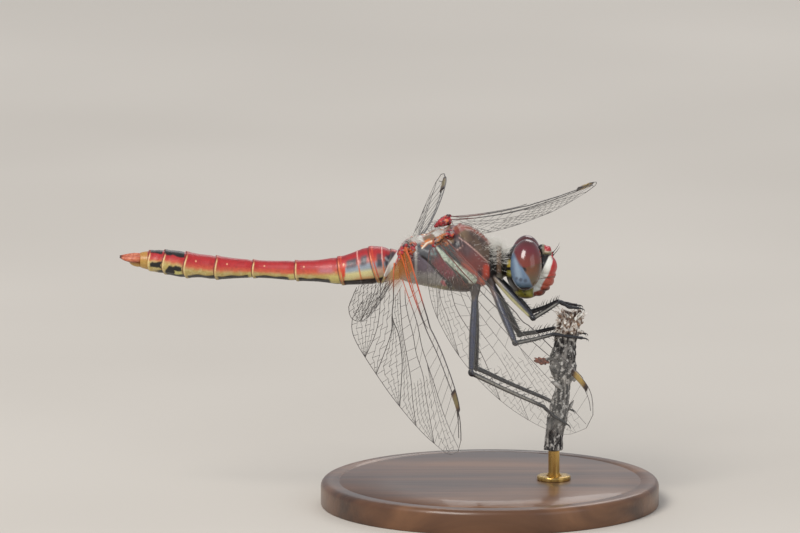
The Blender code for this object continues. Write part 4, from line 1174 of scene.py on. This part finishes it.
eye_shell, nodes, links, shader = finish_of("eye_facets", tone(110, 44, 46), 0.16, Coat_Weight=0.6,
                                            Coat_Roughness=0.12, Specular_IOR_Level=0.5)
facets = grain(nodes, links, 0.05, kind="ShaderNodeTexVoronoi")
tiny = shades(nodes, links, facets.outputs["Distance"], (0.0, grey(1.0)), (0.75, grey(0.72)))
paving = mixed(nodes, links, "MULTIPLY", 0.8, markings(nodes).outputs["Color"], tiny.outputs["Color"])
links.new(paving, shader.inputs["Base Color"])
relief(nodes, links, shader, facets.outputs["Distance"], 0.006, 0.35)
for side, eye_name in ((-1, "eye_R"), (1, "eye_L")):
    bpy.ops.object.select_all(action="DESELECT")
    bpy.ops.mesh.primitive_uv_sphere_add(segments=128, ring_count=96, radius=1.0,
                                         rotation=(math.pi / 2, 0.0, 0.0))
    eye = bpy.context.active_object
    eye.name = "compound_" + eye_name
    bpy.ops.object.transform_apply(rotation=True)
    middle = on_head(EYE_CENTRE[0], EYE_CENTRE[1] * side, EYE_CENTRE[2])
    lie = (Matrix.Translation(middle) @ Matrix.Rotation(EYE_LEAN * side, 4, "X")
           @ Matrix.Rotation(EYE_NOD, 4, "Y") @ Matrix.Diagonal((*EYE_HALF_AXES, 1.0)))
    for corner in eye.data.vertices:
        corner.co = (lie @ corner.co) * MM
    bpy.ops.object.mode_set(mode="EDIT")
    bpy.ops.mesh.select_all(action="SELECT")
    bpy.ops.mesh.bisect(plane_co=(0.0, 0.02 * side * MM, 0.0), plane_no=(0.0, side, 0.0), use_fill=True,
                        clear_inner=True)
    closed()
    paint_on(eye, eye_colour)
    settle(eye, eye_shell, "eye", eye_name)


# ---- Wings ----
# Four clear stiff membranes, pleated in front, on a net of tubular veins that are orange at the root
# and black beyond. The rear wings have an amber stain at the root, and every wing has a two-tone
# ochre cell near its tip.

# outlines and veins: (share of the span, wing lengths ahead of the hinge line)
HIND_FRONT = ((0.0, 0.0), (0.1, -0.004), (0.25, -0.010), (0.38, -0.014), (0.42, -0.018), (0.46, -0.012),
              (0.6, 0.0), (0.78, 0.0), (0.88, -0.012), (0.95, -0.034), (1.0, -0.070))
HIND_REAR = ((0.0, -0.235), (0.012, -0.276), (0.03, -0.305), (0.06, -0.322), (0.10, -0.329), (0.16, -0.330),
             (0.26, -0.325), (0.38, -0.313), (0.53, -0.286), (0.68, -0.249), (0.82, -0.205), (0.93, -0.162),
             (1.0, -0.110))
FORE_FRONT = ((0.0, 0.0), (0.12, 0.004), (0.25, 0.008), (0.45, 0.011), (0.49, 0.006), (0.53, 0.012),
              (0.65, 0.012), (0.8, 0.010), (0.9, 0.0), (0.96, -0.024), (1.0, -0.064))
FORE_REAR = ((0.0, -0.055), (0.03, -0.085), (0.08, -0.125), (0.16, -0.168), (0.27, -0.20), (0.4, -0.22),
             (0.55, -0.225), (0.7, -0.215), (0.85, -0.19), (0.94, -0.16), (1.0, -0.11))
HIND_VEINS = {
    "subcosta": ((0.0, -0.014), (0.10, -0.022), (0.25, -0.028), (0.38, -0.028), (0.42, -0.020)),
    "radius": ((0.0, -0.028), (0.05, -0.034), (0.11, -0.042), (0.27, -0.044), (0.36, -0.042), (0.42, -0.040),
               (0.55, -0.028), (0.70, -0.024), (0.80, -0.025), (0.91, -0.044), (0.97, -0.078)),
    "sector": ((0.10, -0.060), (0.20, -0.062), (0.33, -0.066), (0.43, -0.085), (0.53, -0.090), (0.63, -0.094),
               (0.74, -0.102), (0.86, -0.104), (0.99, -0.100)),
    "inter": ((0.52, -0.092), (0.60, -0.112), (0.70, -0.130), (0.82, -0.146), (0.935, -0.156)),
    "second": ((0.14, -0.070), (0.18, -0.088), (0.24, -0.100), (0.32, -0.110), (0.40, -0.130), (0.51, -0.140),
               (0.57, -0.162), (0.68, -0.194), (0.77, -0.222)),
    "third": ((0.11, -0.090), (0.18, -0.120), (0.26, -0.150), (0.37, -0.180), (0.45, -0.205), (0.51, -0.235),
              (0.60, -0.270)),
    "media": ((0.0, -0.070), (0.03, -0.090), (0.11, -0.130), (0.16, -0.165), (0.25, -0.172), (0.34, -0.205),
              (0.39, -0.245), (0.45, -0.301)),
    "cubitus": ((0.155, -0.165), (0.20, -0.195), (0.225, -0.245), (0.255, -0.326)),
    "anal": ((0.0, -0.150), (0.04, -0.170), (0.10, -0.210), (0.14, -0.255), (0.17, -0.330)),
}
FORE_VEINS = {
    "subcosta": ((0.0, -0.010), (0.12, -0.008), (0.30, -0.004), (0.45, -0.003), (0.49, 0.004)),
    "radius": ((0.0, -0.022), (0.12, -0.026), (0.25, -0.024), (0.40, -0.022), (0.49, -0.020), (0.65, -0.014),
               (0.80, -0.010), (0.90, -0.018), (0.95, -0.036), (0.98, -0.058)),
    "sector": ((0.13, -0.036), (0.23, -0.046), (0.34, -0.050), (0.49, -0.054), (0.60, -0.058), (0.78, -0.070),
               (0.90, -0.088), (0.99, -0.100)),
    "inter": ((0.56, -0.058), (0.64, -0.074), (0.75, -0.094), (0.86, -0.116), (0.965, -0.140)),
    "second": ((0.19, -0.046), (0.23, -0.060), (0.34, -0.076), (0.51, -0.092), (0.67, -0.112), (0.78, -0.138),
               (0.89, -0.178)),
    "third": ((0.16, -0.052), (0.23, -0.080), (0.34, -0.106), (0.51, -0.128), (0.62, -0.156), (0.75, -0.208)),
    "media": ((0.13, -0.062), (0.18, -0.092), (0.24, -0.118), (0.34, -0.136), (0.42, -0.156), (0.50, -0.182),
              (0.60, -0.223)),
    "cubitus": ((0.0, -0.040), (0.08, -0.056), (0.12, -0.085), (0.15, -0.125), (0.24, -0.160),
                (0.36, -0.216)),
    "anal": ((0.0, -0.050), (0.06, -0.070), (0.12, -0.118), (0.16, -0.145), (0.205, -0.184)),
}
# spaces filled with cells: (upper runs of veins, lower runs, rows of cells, cells along); each run is
# (vein, from span, to span)
HIND_SPACES = (
    ((("front", 0.02, 0.42),), (("subcosta", 0.02, 0.42),), 1, 8),
    ((("subcosta", 0.02, 0.42),), (("radius", 0.02, 0.42),), 1, 7),
    ((("front", 0.43, 0.97),), (("radius", 0.43, 0.97),), 1, 10),
    ((("radius", 0.12, 0.42),), (("sector", 0.12, 0.42),), 1, 4),
    ((("radius", 0.43, 0.97),), (("sector", 0.43, 0.98),), 1, 9),
    ((("sector", 0.15, 0.50),), (("second", 0.15, 0.51),), 1, 6),
    ((("sector", 0.53, 0.99),), (("inter", 0.53, 0.935),), 2, 9),
    ((("inter", 0.54, 0.935),), (("second", 0.52, 0.77), ("rear", 0.775, 0.93)), 2, 9),
    ((("second", 0.15, 0.51),), (("third", 0.13, 0.46),), 1, 8),
    ((("second", 0.51, 0.77),), (("third", 0.46, 0.60), ("rear", 0.605, 0.765)), 4, 8),
    ((("third", 0.12, 0.60),), (("media", 0.10, 0.45), ("rear", 0.455, 0.595)), 3, 13),
    ((("radius", 0.02, 0.10), ("third", 0.11, 0.16)), (("media", 0.03, 0.16),), 1, 3),
    ((("media", 0.17, 0.45),), (("cubitus", 0.17, 0.255), ("rear", 0.26, 0.44)), 4, 9),
    ((("media", 0.02, 0.155), ("cubitus", 0.16, 0.255)), (("anal", 0.02, 0.17), ("rear", 0.175, 0.25)), 3, 7),
    ((("anal", 0.01, 0.17),), (("rear", 0.0, 0.165),), 6, 6),
)
FORE_SPACES = (
    ((("front", 0.02, 0.49),), (("subcosta", 0.02, 0.49),), 1, 8),
    ((("subcosta", 0.02, 0.49),), (("radius", 0.02, 0.49),), 1, 7),
    ((("front", 0.50, 0.97),), (("radius", 0.50, 0.98),), 1, 8),
    ((("radius", 0.14, 0.49),), (("sector", 0.14, 0.49),), 1, 5),
    ((("radius", 0.50, 0.98),), (("sector", 0.50, 0.98),), 1, 9),
    ((("sector", 0.20, 0.55),), (("second", 0.20, 0.55),), 1, 6),
    ((("sector", 0.57, 0.99),), (("inter", 0.57, 0.965),), 2, 9),
    ((("inter", 0.58, 0.965),), (("second", 0.56, 0.89), ("rear", 0.895, 0.96)), 2, 9),
    ((("second", 0.21, 0.50),), (("third", 0.17, 0.50),), 1, 7),
    ((("second", 0.50, 0.89),), (("third", 0.50, 0.75), ("rear", 0.755, 0.885)), 3, 9),
    ((("third", 0.18, 0.52),), (("media", 0.14, 0.50),), 1, 8),
    ((("third", 0.52, 0.75),), (("media", 0.50, 0.60), ("rear", 0.605, 0.745)), 3, 6),
    ((("media", 0.15, 0.60),), (("cubitus", 0.13, 0.36), ("rear", 0.365, 0.595)), 3, 11),
    ((("radius", 0.02, 0.13), ("media", 0.135, 0.15)), (("cubitus", 0.02, 0.13),), 1, 3),
    ((("cubitus", 0.13, 0.36),), (("anal", 0.13, 0.205), ("rear", 0.21, 0.355)), 3, 6),
    ((("anal", 0.03, 0.205),), (("rear", 0.0, 0.20),), 2, 6),
)
PLEATS = (("front", 0.16), ("subcosta", -0.05), ("radius", 0.14), ("sector", -0.06), ("second", 0.05))
SPINE_STEPS = 120


def spine_table(wing):
    """Places and turned axes along a wing's hinge line, root to tip, in mm on the body's axes."""
    droop, bend, sweep = (math.radians(wing[k]) for k in ("droop", "bend", "sweep"))
    table = []
    place = Vector()
    for k in range(SPINE_STEPS + 1):
        dip = droop + bend * (k / SPINE_STEPS - 0.5)
        along = Vector((math.sin(sweep) * math.cos(dip), math.cos(sweep) * math.cos(dip), -math.sin(dip)))
        level = along.cross(Vector((0.0, 0.0, 1.0))).normalized()
        table.append((place.copy(), level, level.cross(along), along))
        place += along * wing["length"] / SPINE_STEPS
    return table


def wing_at(wing, veins, span, chord, lift=0.0):
    """World place in mm of a spot on a wing; lift raises it off the sheet, on top of the pleats."""
    step = min(max(span, 0.0), 1.0) * SPINE_STEPS
    k = min(int(step), SPINE_STEPS - 1)
    place, level, upright, along = wing["spine"][k]
    place = place.lerp(wing["spine"][k + 1][0], step - k)
    fade = math.exp(-span / wing["twist_reach"])
    pitch = wing["tip_pitch"] + (wing["root_pitch"] - wing["tip_pitch"]) * fade
    pitch = math.radians(pitch + 0.5 * wing["camber"] * fade * max(-chord, 0.0) / 0.28)
    across = level * math.cos(pitch) + upright * math.sin(pitch)
    over = across.cross(along) * -1.0
    ahead, high = 1.0, 0.0
    for vein, height in PLEATS:
        here = read(veins[vein], span)
        if chord > here:
            share = (ahead - chord) / max(ahead - here, 1e-6)
            high += (height - high) * share if ahead < 1.0 else height
            break
        ahead, high = here, height
    else:
        high *= soft(chord, ahead - 0.05, ahead)
    high *= soft(span, 0.0, 0.08) * soft(span, 1.02, 0.85)
    place = place + across * chord * wing["length"] + over * (high + lift)
    hinge = wing["hinge"]
    return body(hinge[0] + place.x, wing["side"] * (hinge[1] + place.y), hinge[2] + place.z)


def track(veins, runs):
    """Reader, 0 to 1, of evenly spaced (span, chord) spots along one or more runs of veins."""
    dots = []
    for vein, low, high in runs:
        for k in range(41):
            span = low + (high - low) * k / 40
            dots.append((span, read(veins[vein], span)))
    lengths = [0.0]
    for (a, b), (c, d) in zip(dots, dots[1:]):
        lengths.append(lengths[-1] + math.hypot(c - a, d - b))

    def at(t):
        goal = t * lengths[-1]
        k = next((i for i in range(1, len(lengths)) if lengths[i] >= goal), len(lengths) - 1)
        share = (goal - lengths[k - 1]) / max(lengths[k] - lengths[k - 1], 1e-9)
        return tuple(a + (b - a) * share for a, b in zip(dots[k - 1], dots[k]))

    return at


def cells(veins, upper_runs, lower_runs, rows, count, chance):
    """Rows of (span, chord) that wall in a honeycomb between two runs of veins."""
    upper, lower = track(veins, upper_runs), track(veins, lower_runs)
    steps = 2 * count if rows > 1 else count
    nodes_at = {}
    for i in range(steps + 1):
        for r in range(rows + 1):
            zig = (0.15 if (i + r) % 2 else -0.15) if 0 < r < rows else 0.0
            f = (r + zig + chance.uniform(-0.06, 0.06) * (0 < r < rows)) / rows
            t = min(max((i + chance.uniform(-0.16, 0.16)) / steps, 0.0), 1.0)
            (s0, c0), (s1, c1) = upper(t), lower(t)
            nodes_at[i, r] = (s0 + (s1 - s0) * f, c0 + (c1 - c0) * f)
    walls = [[nodes_at[i, r] for i in range(steps + 1)] for r in range(1, rows)]
    for i in range(1, steps):
        for r in range(rows):
            if rows == 1 or (i + r) % 2 == 0:
                walls.append([nodes_at[i, r], nodes_at[i, r + 1]])
    return walls


VEIN_THICKNESS = 0.085
MAIN_SIZE = {"front": 1.6, "subcosta": 0.85, "radius": 1.35, "sector": 0.9, "inter": 0.55, "second": 0.75,
             "third": 0.75, "media": 0.95, "cubitus": 0.8, "anal": 0.7, "rear": 0.7}
STOUT_ROOTS = ("radius", "media", "front")
FILM_THICKNESS, STIGMA_THICKNESS = 0.02, 0.11
vein_shell = cuticle("vein_cuticle", 0.36, 0.2)
stigma_shell = cuticle("stigma_cuticle", 0.4, 0.15)
film, nodes, links, shader = finish_of("wing_film", tone(214, 214, 210), 0.10, IOR=1.45,
                                       Specular_IOR_Level=0.8)
stain = markings(nodes)
links.new(stain.outputs["Color"], shader.inputs["Base Color"])
links.new(stain.outputs["Alpha"], shader.inputs["Alpha"])
ripple = grain(nodes, links, 1.6, detail=1.0)
relief(nodes, links, shader, ripple.outputs["Fac"], 0.05, 0.5)


def wing_sheet(name, wing, veins, spans, rear, overlap, squares, thickness_mm):
    """A closed thin plate on the wing between two spans, from the front edge to another vein."""
    bpy.ops.object.select_all(action="DESELECT")
    bpy.ops.mesh.primitive_grid_add(x_subdivisions=squares[0], y_subdivisions=squares[1], size=1.0)
    sheet = bpy.context.active_object
    sheet.name = sheet.data.name = name
    for corner in sheet.data.vertices:
        span = spans[0] + (spans[1] - spans[0]) * (corner.co.x + 0.5)
        front_edge, rear_edge = read(veins["front"], span) - overlap, read(veins[rear], span) + overlap
        chord = front_edge + (rear_edge - front_edge) * (corner.co.y + 0.5)
        corner.co = wing_at(wing, veins, span, chord) * MM
    skin = sheet.modifiers.new("thickness", "SOLIDIFY")
    skin.thickness = thickness_mm * MM
    skin.offset = 0.0
    bpy.ops.object.modifier_apply(modifier="thickness")
    bpy.ops.object.mode_set(mode="EDIT")
    bpy.ops.mesh.select_all(action="SELECT")
    bpy.ops.mesh.normals_make_consistent(inside=False)
    bpy.ops.object.mode_set(mode="OBJECT")
    bpy.ops.object.shade_smooth()
    return sheet


for wing_name, wing in WINGS.items():
    hind = wing_name.startswith("hind")
    veins = dict(HIND_VEINS if hind else FORE_VEINS)
    veins["front"], veins["rear"] = (HIND_FRONT, HIND_REAR) if hind else (FORE_FRONT, FORE_REAR)
    wing["spine"] = spine_table(wing)
    hinge_at = body(wing["hinge"][0], wing["side"] * wing["hinge"][1], wing["hinge"][2])
    lead = (wing_at(wing, veins, 0.5, 0.0) - hinge_at).normalized()
    chance = random.Random(len(wing_name) + 3 * wing["side"] + int(wing["sweep"]))

    size_of = 1.0 if hind else 0.75
    tubes, threads = [], []
    for vein, stations in veins.items():
        at = track(veins, ((vein, stations[0][0], stations[-1][0]),))
        size = MAIN_SIZE[vein]
        path = []
        for k in range(81):
            span, chord = at(k / 80)
            stout = 1.1 * math.exp(-span / 0.06) if hind and vein in STOUT_ROOTS else 0.0
            girth = size_of * size * (1.0 - 0.4 * span ** 1.5 + stout)
            path.append((wing_at(wing, veins, span, chord), girth))
        tubes.append(path)
    tip_front, tip_rear = veins["front"][-1][1], veins["rear"][-1][1]
    tip = []
    for k in range(9):
        span = 1.0 + 0.004 * math.sin(math.pi * k / 8)
        tip.append((wing_at(wing, veins, span, tip_front + (tip_rear - tip_front) * k / 8), 0.6))
    tubes.append(tip)
    for upper_runs, lower_runs, rows, count in (HIND_SPACES if hind else FORE_SPACES):
        for wall in cells(veins, upper_runs, lower_runs, rows, count, chance):
            threads.append([(wing_at(wing, veins, span, chord), (0.44 - 0.10 * span) * size_of)
                            for span, chord in wall])
    net = joined("wing_veins_" + wing_name, [strands("tubes", tubes, VEIN_THICKNESS, rounding=1),
                                             strands("threads", threads, VEIN_THICKNESS)])

    def vein_colour(point):
        spoke = point - hinge_at
        away = spoke.length + 0.8 * rough_at(point, 2.5, 2)
        behind = (spoke - lead * spoke.dot(lead)).length
        limit = (8.0 - 4.6 * soft(behind, 1.4, 2.6)) * (1.0 if hind else 0.7)
        root_tone = tone(198, 90, 36) if hind else tone(112, 58, 46)
        colour = blend(root_tone, tone(176, 66, 40), soft(away, 2.0, 7.0) * (1.0 if hind else 0.2))
        return blend(colour, tone(58, 50, 47), soft(away, limit - 1.2, limit + 1.4))

    paint_on(net, vein_colour)
    settle(net, vein_shell, "membrane")

    sheet = wing_sheet("wing_film_" + wing_name, wing, veins, (0.012, 1.0), "rear", 0.0, (200, 44),
                       FILM_THICKNESS)

    def film_colour(point):
        away = (point - hinge_at).length
        stain = soft(away + 0.8 * rough_at(point, 1.5, 2), 4.6, 2.2) if hind else 0.0
        tint = blend(tone(170, 168, 162), tone(168, 104, 40), stain)
        return (*tint[:3], 0.055 + 0.45 * stain)

    paint_on(sheet, film_colour)
    settle(sheet, film, "membrane", wing_name)

    spans = (0.800, 0.905) if hind else (0.812, 0.915)
    cell = wing_sheet("wing_stigma_" + wing_name, wing, veins, spans, "radius", 0.001, (24, 6),
                      STIGMA_THICKNESS)
    ends = [wing_at(wing, veins, span, read(veins["front"], span) - 0.01) for span in spans]

    def stigma_colour(point):
        middle = min((point - end).length for end in ends) / (ends[0] - ends[1]).length
        heart = tone(112, 98, 60) if hind else tone(158, 130, 66)
        colour = blend(tone(96, 70, 40), heart, soft(middle, 0.12, 0.4))
        return blend(tone(46, 30, 22), colour, soft(middle, 0.12, 0.2))

    paint_on(cell, stigma_colour)
    settle(cell, stigma_shell, "membrane")


# ---- Legs ----
# Six slim legs that clasp the twig: black with a pale streak along thigh and shin, rows of stiff
# bristles for catching prey, three-jointed black feet and a pair of toothed claws on each.
LEGS = {
    "front_R": ((0.18, -0.75, 20.75), (3.81, -3.0, 17.27), (6.10, -1.75, 18.50),
                (7.0, -1.25, 17.95), (7.9, -0.75, 17.75)),
    "middle_R": ((0.05, -1.10, 20.1), (2.21, -3.9, 15.18), (5.60, -2.1, 15.66),
                 (7.0, -1.50, 15.35), (8.25, -0.95, 15.1)),
    "hind_R": ((-1.33, -1.25, 19.4), (-1.68, -3.6, 12.43), (4.70, -2.0, 9.15),
               (5.6, -1.45, 8.2), (6.75, -1.25, 7.45)),
    "front_L": ((0.18, 1.00, 20.7), (3.62, 2.8, 16.75), (6.05, 1.75, 17.95),
                (6.9, 1.25, 17.8), (7.75, 0.75, 17.75)),
    "middle_L": ((-0.05, 1.45, 19.95), (2.65, 3.6, 14.60), (5.70, 2.1, 15.45),
                 (7.0, 1.50, 15.3), (8.2, 0.95, 15.2)),
    "hind_L": ((-1.33, 1.50, 19.4), (-1.24, 3.4, 11.64), (5.00, 2.0, 9.10),
               (6.0, 1.35, 8.7), (7.17, 1.0, 8.30)),
}
THIGH_STATIONS = (0.09, 0.22, 0.5, 0.85)
THIGH_RADII = (0.56, 0.44, 0.30, 0.30, 0.35, 0.28, 0.22)
BRISTLE_THICKNESS = 0.055
# a claw beyond the toe: (ahead, aside, down, share of a bristle's thickness)
CLAW = ((-0.06, 0.0, 0.0, 3.0), (0.22, 0.22, 0.0, 2.2), (0.40, 0.36, 0.06, 1.3), (0.46, 0.38, 0.24, 0.3))
# the streak's colour, narrowness and strength, the blue sheen, and where the pale root fades out
THIGH_LOOKS = {
    "front": dict(streak=tone(206, 200, 150), narrow=0.62, strong=0.9, sheen=0.2,
                  root=tone(150, 134, 116), root_fade=(0.40, 0.15), root_side=(-0.3, 0.3)),
    "middle": dict(streak=tone(120, 116, 112), narrow=0.90, strong=0.6, sheen=0.8,
                   root=tone(120, 92, 82), root_fade=(0.36, 0.16), root_side=(-0.1, 0.5)),
    "hind": dict(streak=tone(120, 116, 112), narrow=0.90, strong=0.6, sheen=0.8,
                 root=tone(104, 92, 78), root_fade=(0.16, 0.08), root_side=(-0.1, 0.5)),
}
leg_shell = cuticle("leg_cuticle", 0.34, 0.3)
bristle_dice = random.Random(23)
bristles = []


def off_axis(point, start, stop):
    """(share along a straight limb, vector from its axis to the point)."""
    run = stop - start
    share = (point - start).dot(run) / run.length_squared
    return share, point - start - run * share


def bristle_rows(start, stop, radius, low, high, count, length_mm, sides_of):
    """Two rows of stiff bristles along a limb, raked towards its far end."""
    run = (stop - start).normalized()
    for out in sides_of:
        out = (out - run * out.dot(run)).normalized()
        for k in range(count):
            share = low + (high - low) * (k + bristle_dice.uniform(-0.2, 0.2)) / (count - 1)
            root = start.lerp(stop, share) + out * radius * 0.7
            reach = length_mm * bristle_dice.uniform(0.75, 1.15)
            rake = (out + run * 0.75).normalized()
            bristles.append([(root, 1.0), (root + rake * reach * 0.5, 0.75),
                             (root + (rake + run * 0.12) * reach, 0.12)])


DOWN = Vector((0.0, 0.0, -1.0))
for leg_name, spots in LEGS.items():
    hip, knee, ankle, foot, toe = (Vector(spot) for spot in spots)
    side = -1 if leg_name.endswith("R") else 1
    pair = leg_name.split("_")[0]
    looks = THIGH_LOOKS[pair]
    if pair == "front":
        socket = hip + Vector((0.0, 0.0, 0.1))
        stripe_way = Vector((-0.62, 0.45 * side, -0.62)).normalized()
    else:
        socket = hip + Vector((-0.55 if pair == "middle" else 0.0, -0.25 * side, 0.78))
        stripe_way = Vector((-0.85, 0.5 * side, -0.2)).normalized()
    path = [socket, hip, *(hip.lerp(knee, share) for share in THIGH_STATIONS), knee.lerp(hip, 0.02)]
    thigh = limb_skin("thigh", path, THIGH_RADII, 20, 66)
    shin_dip = ankle.lerp(knee, 0.5) + DOWN * 0.05
    path = [knee, knee.lerp(ankle, 0.10), shin_dip, ankle.lerp(knee, 0.08), ankle]
    shin = limb_skin("shin", path, (0.22, 0.21, 0.18, 0.17, 0.15), 18, 56)
    path = [ankle.lerp(knee, 0.05), ankle, ankle.lerp(foot, 0.25)]
    ball = limb_skin("ankle", path, (0.15, 0.17, 0.14), 14, 10)
    path = [ankle, *(ankle.lerp(foot, share) for share in (0.30, 0.62, 1.0)), foot.lerp(toe, 0.5), toe]
    tarsus = limb_skin("tarsus", path, (0.13, 0.17, 0.13, 0.17, 0.12, 0.15), 16, 48)
    path = [knee.lerp(hip, 0.05), knee, knee.lerp(ankle, 0.05)]
    knob = limb_skin("knee", path, (0.21, 0.27, 0.2), 16, 12)
    leg = joined("leg_" + leg_name, [thigh, shin, tarsus, knob, ball])

    def thigh_colour(base, share, way):
        """The thigh's colour at a share of its length, on the side that faces a way."""
        facing = way.dot(stripe_way)
        outer = way.dot(Vector((0.0, side, 0.0)))
        colour = blend(base, tone(38, 46, 78), soft(outer, 0.5, 0.9) * looks["sheen"])
        line = soft(facing, looks["narrow"] - 0.05, looks["narrow"] + 0.05)
        line *= soft(share, 0.12, 0.22) * soft(share, 0.97, 0.9)
        colour = blend(colour, looks["streak"], line * looks["strong"])
        root_tint = soft(share, *looks["root_fade"]) * soft(facing, *looks["root_side"])
        colour = blend(colour, looks["root"], root_tint * 0.8)
        colour = blend(colour, tone(60, 46, 42), soft(share, 0.10, 0.04))
        knee_tint = soft(share, 0.95, 0.985) * soft(facing, 0.3, 0.7)
        return blend(colour, tone(206, 196, 160), knee_tint * 0.8)

    def leg_colour(point):
        thigh_share, thigh_off = off_axis(point, hip, knee)
        shin_share, shin_off = off_axis(point, knee, ankle)
        base = tone(24, 24, 30)
        at_thigh = thigh_share < 0.93 or thigh_off.length < shin_off.length
        if thigh_off.length < 0.52 and thigh_share < 1.02 and at_thigh:
            return thigh_colour(base, thigh_share, thigh_off.normalized())
        if shin_share < 1.0:
            facing = shin_off.normalized().dot(Vector((0.0, side, 0.1)))
            line = soft(facing, 0.80, 0.93) * soft(shin_share, 0.03, 0.08) * soft(shin_share, 0.97, 0.80)
            return blend(base, tone(150, 146, 136), line * 0.8)
        return base

    paint_on(leg, leg_colour)
    settle(leg, leg_shell, "leg", *["leg_%s_%s" % (leg_name, part) for part in ("femur", "tibia", "tarsus")])

    inner = Vector((0.0, -side, 0.0))
    under = (knee - hip).cross(inner).normalized()
    under = under if under.x > 0 else -under
    bristle_rows(hip, knee, 0.30, 0.35, 0.96, 8, 0.40, (under + inner * 0.5, under - inner * 0.4))
    above = (ankle - knee).cross(inner).normalized()
    above = above if above.z > 0 else -above
    bristle_rows(knee, ankle, 0.18, 0.12, 0.94, 8, 0.56, (above + inner * 0.6, above - inner * 0.55))
    bristle_rows(knee, ankle, 0.18, 0.25, 0.98, 7, 0.30, (-above,))
    bristle_rows(foot, toe, 0.13, 0.1, 0.8, 4, 0.16, (DOWN + inner * 0.4,))
    run = (toe - foot).normalized()
    for spread in (-0.5, 0.5):
        out = run.cross(DOWN).normalized() * spread
        bristles.append([(toe + run * ahead + out * aside + DOWN * dip, share)
                         for ahead, aside, dip, share in CLAW])
spines = strands("leg_bristles", bristles, BRISTLE_THICKNESS)
paint_on(spines, lambda point: tone(22, 20, 22))
settle(spines, leg_shell, "leg")


# ---- Hairs ----
# Fine pale hairs on the front, the sides and the rear of the thorax and behind the head, thickest in
# the collar's ruff. Each one is a tapering rod that takes some of its colour from the shell below.
hair_dice = random.Random(41)
HAIR_THICKNESS, UNWRAP_PATCH = 0.015, 0.003


def on_trunk(turn, run):
    """A root on the thorax, and the way out of its shell there."""
    here = trunk_surface(turn, run)
    across = trunk_surface((turn + 0.004) % 1.0, run) - here
    along = trunk_surface(turn, run - 0.004) - here
    out = across.cross(along).normalized()
    heart = body(TRUNK_START + TRUNK_LENGTH * run, 0.0, read(TRUNK_CENTRE, TRUNK_LENGTH * run))
    return here, out if out.dot(here - heart) > 0 else -out


def ruff(name, count, choose_run, choose_turn, length_mm, rake):
    """Hairs rooted on the thorax: a mesh with markings and an unwrap by (turn, run) of each root."""
    paths, roots = [], []
    for _ in range(count):
        turn, run = choose_turn() % 1.0, choose_run()
        root, out = on_trunk(turn, run)
        stray = Vector([hair_dice.uniform(-0.35, 0.35) for _ in range(3)])
        lean = (out + Vector((rake, 0.0, 0.0)) + stray).normalized()
        lean = lean * length_mm * hair_dice.uniform(0.55, 1.15)
        droop = Vector((0.10 * rake, 0.0, hair_dice.uniform(-0.15, 0.08)))
        paths.append([(root - out * 0.04, 1.0), (root + lean * 0.4, 0.8),
                      (root + lean * 0.75 + droop * 0.4, 0.5), (root + lean + droop, 0.15)])
        roots.append((turn, run, root))
    coat = strands(name, paths, HAIR_THICKNESS)
    mesh = coat.data
    per_hair = len(mesh.vertices) // count
    shade_of = [blend(trunk_colour(root), tone(246, 244, 236), 0.88) for _, _, root in roots]
    store = mesh.color_attributes.new("markings", "FLOAT_COLOR", "POINT")
    unwrap = mesh.uv_layers.new(name="OFBake")
    for corner in mesh.vertices:
        store.data[corner.index].color = shade_of[corner.index // per_hair]
    for loop in mesh.loops:
        hair, place = divmod(loop.vertex_index, per_hair)
        turn, run, _ = roots[hair]
        unwrap.data[loop.index].uv = (0.02 + 0.95 * turn + UNWRAP_PATCH * (place % 4) / 4,
                                      0.02 + 0.95 * run + UNWRAP_PATCH * (place // 4) / (per_hair // 4))
    settle(coat, hair_shell, "thorax")


hair_shell, nodes, links, shader = finish_of("hair", tone(214, 208, 192), 0.5)
links.new(markings(nodes).outputs["Color"], shader.inputs["Base Color"])
ruff("hairs_collar", 620, lambda: hair_dice.uniform(0.80, 0.95),
     lambda: hair_dice.triangular(0.25, 0.75, 0.5), 0.95, 0.2)
ruff("hairs_front", 150, lambda: hair_dice.uniform(0.66, 0.82),
     lambda: hair_dice.triangular(0.25, 0.75, 0.5), 0.50, 0.1)
ruff("hairs_flank", 320, lambda: hair_dice.uniform(0.12, 0.80),
     lambda: hair_dice.uniform(-0.26, 0.26), 0.45, -0.1)
ruff("hairs_rear", 200, lambda: hair_dice.uniform(0.04, 0.20),
     lambda: hair_dice.triangular(0.30, 0.70, 0.5), 0.8, -0.35)
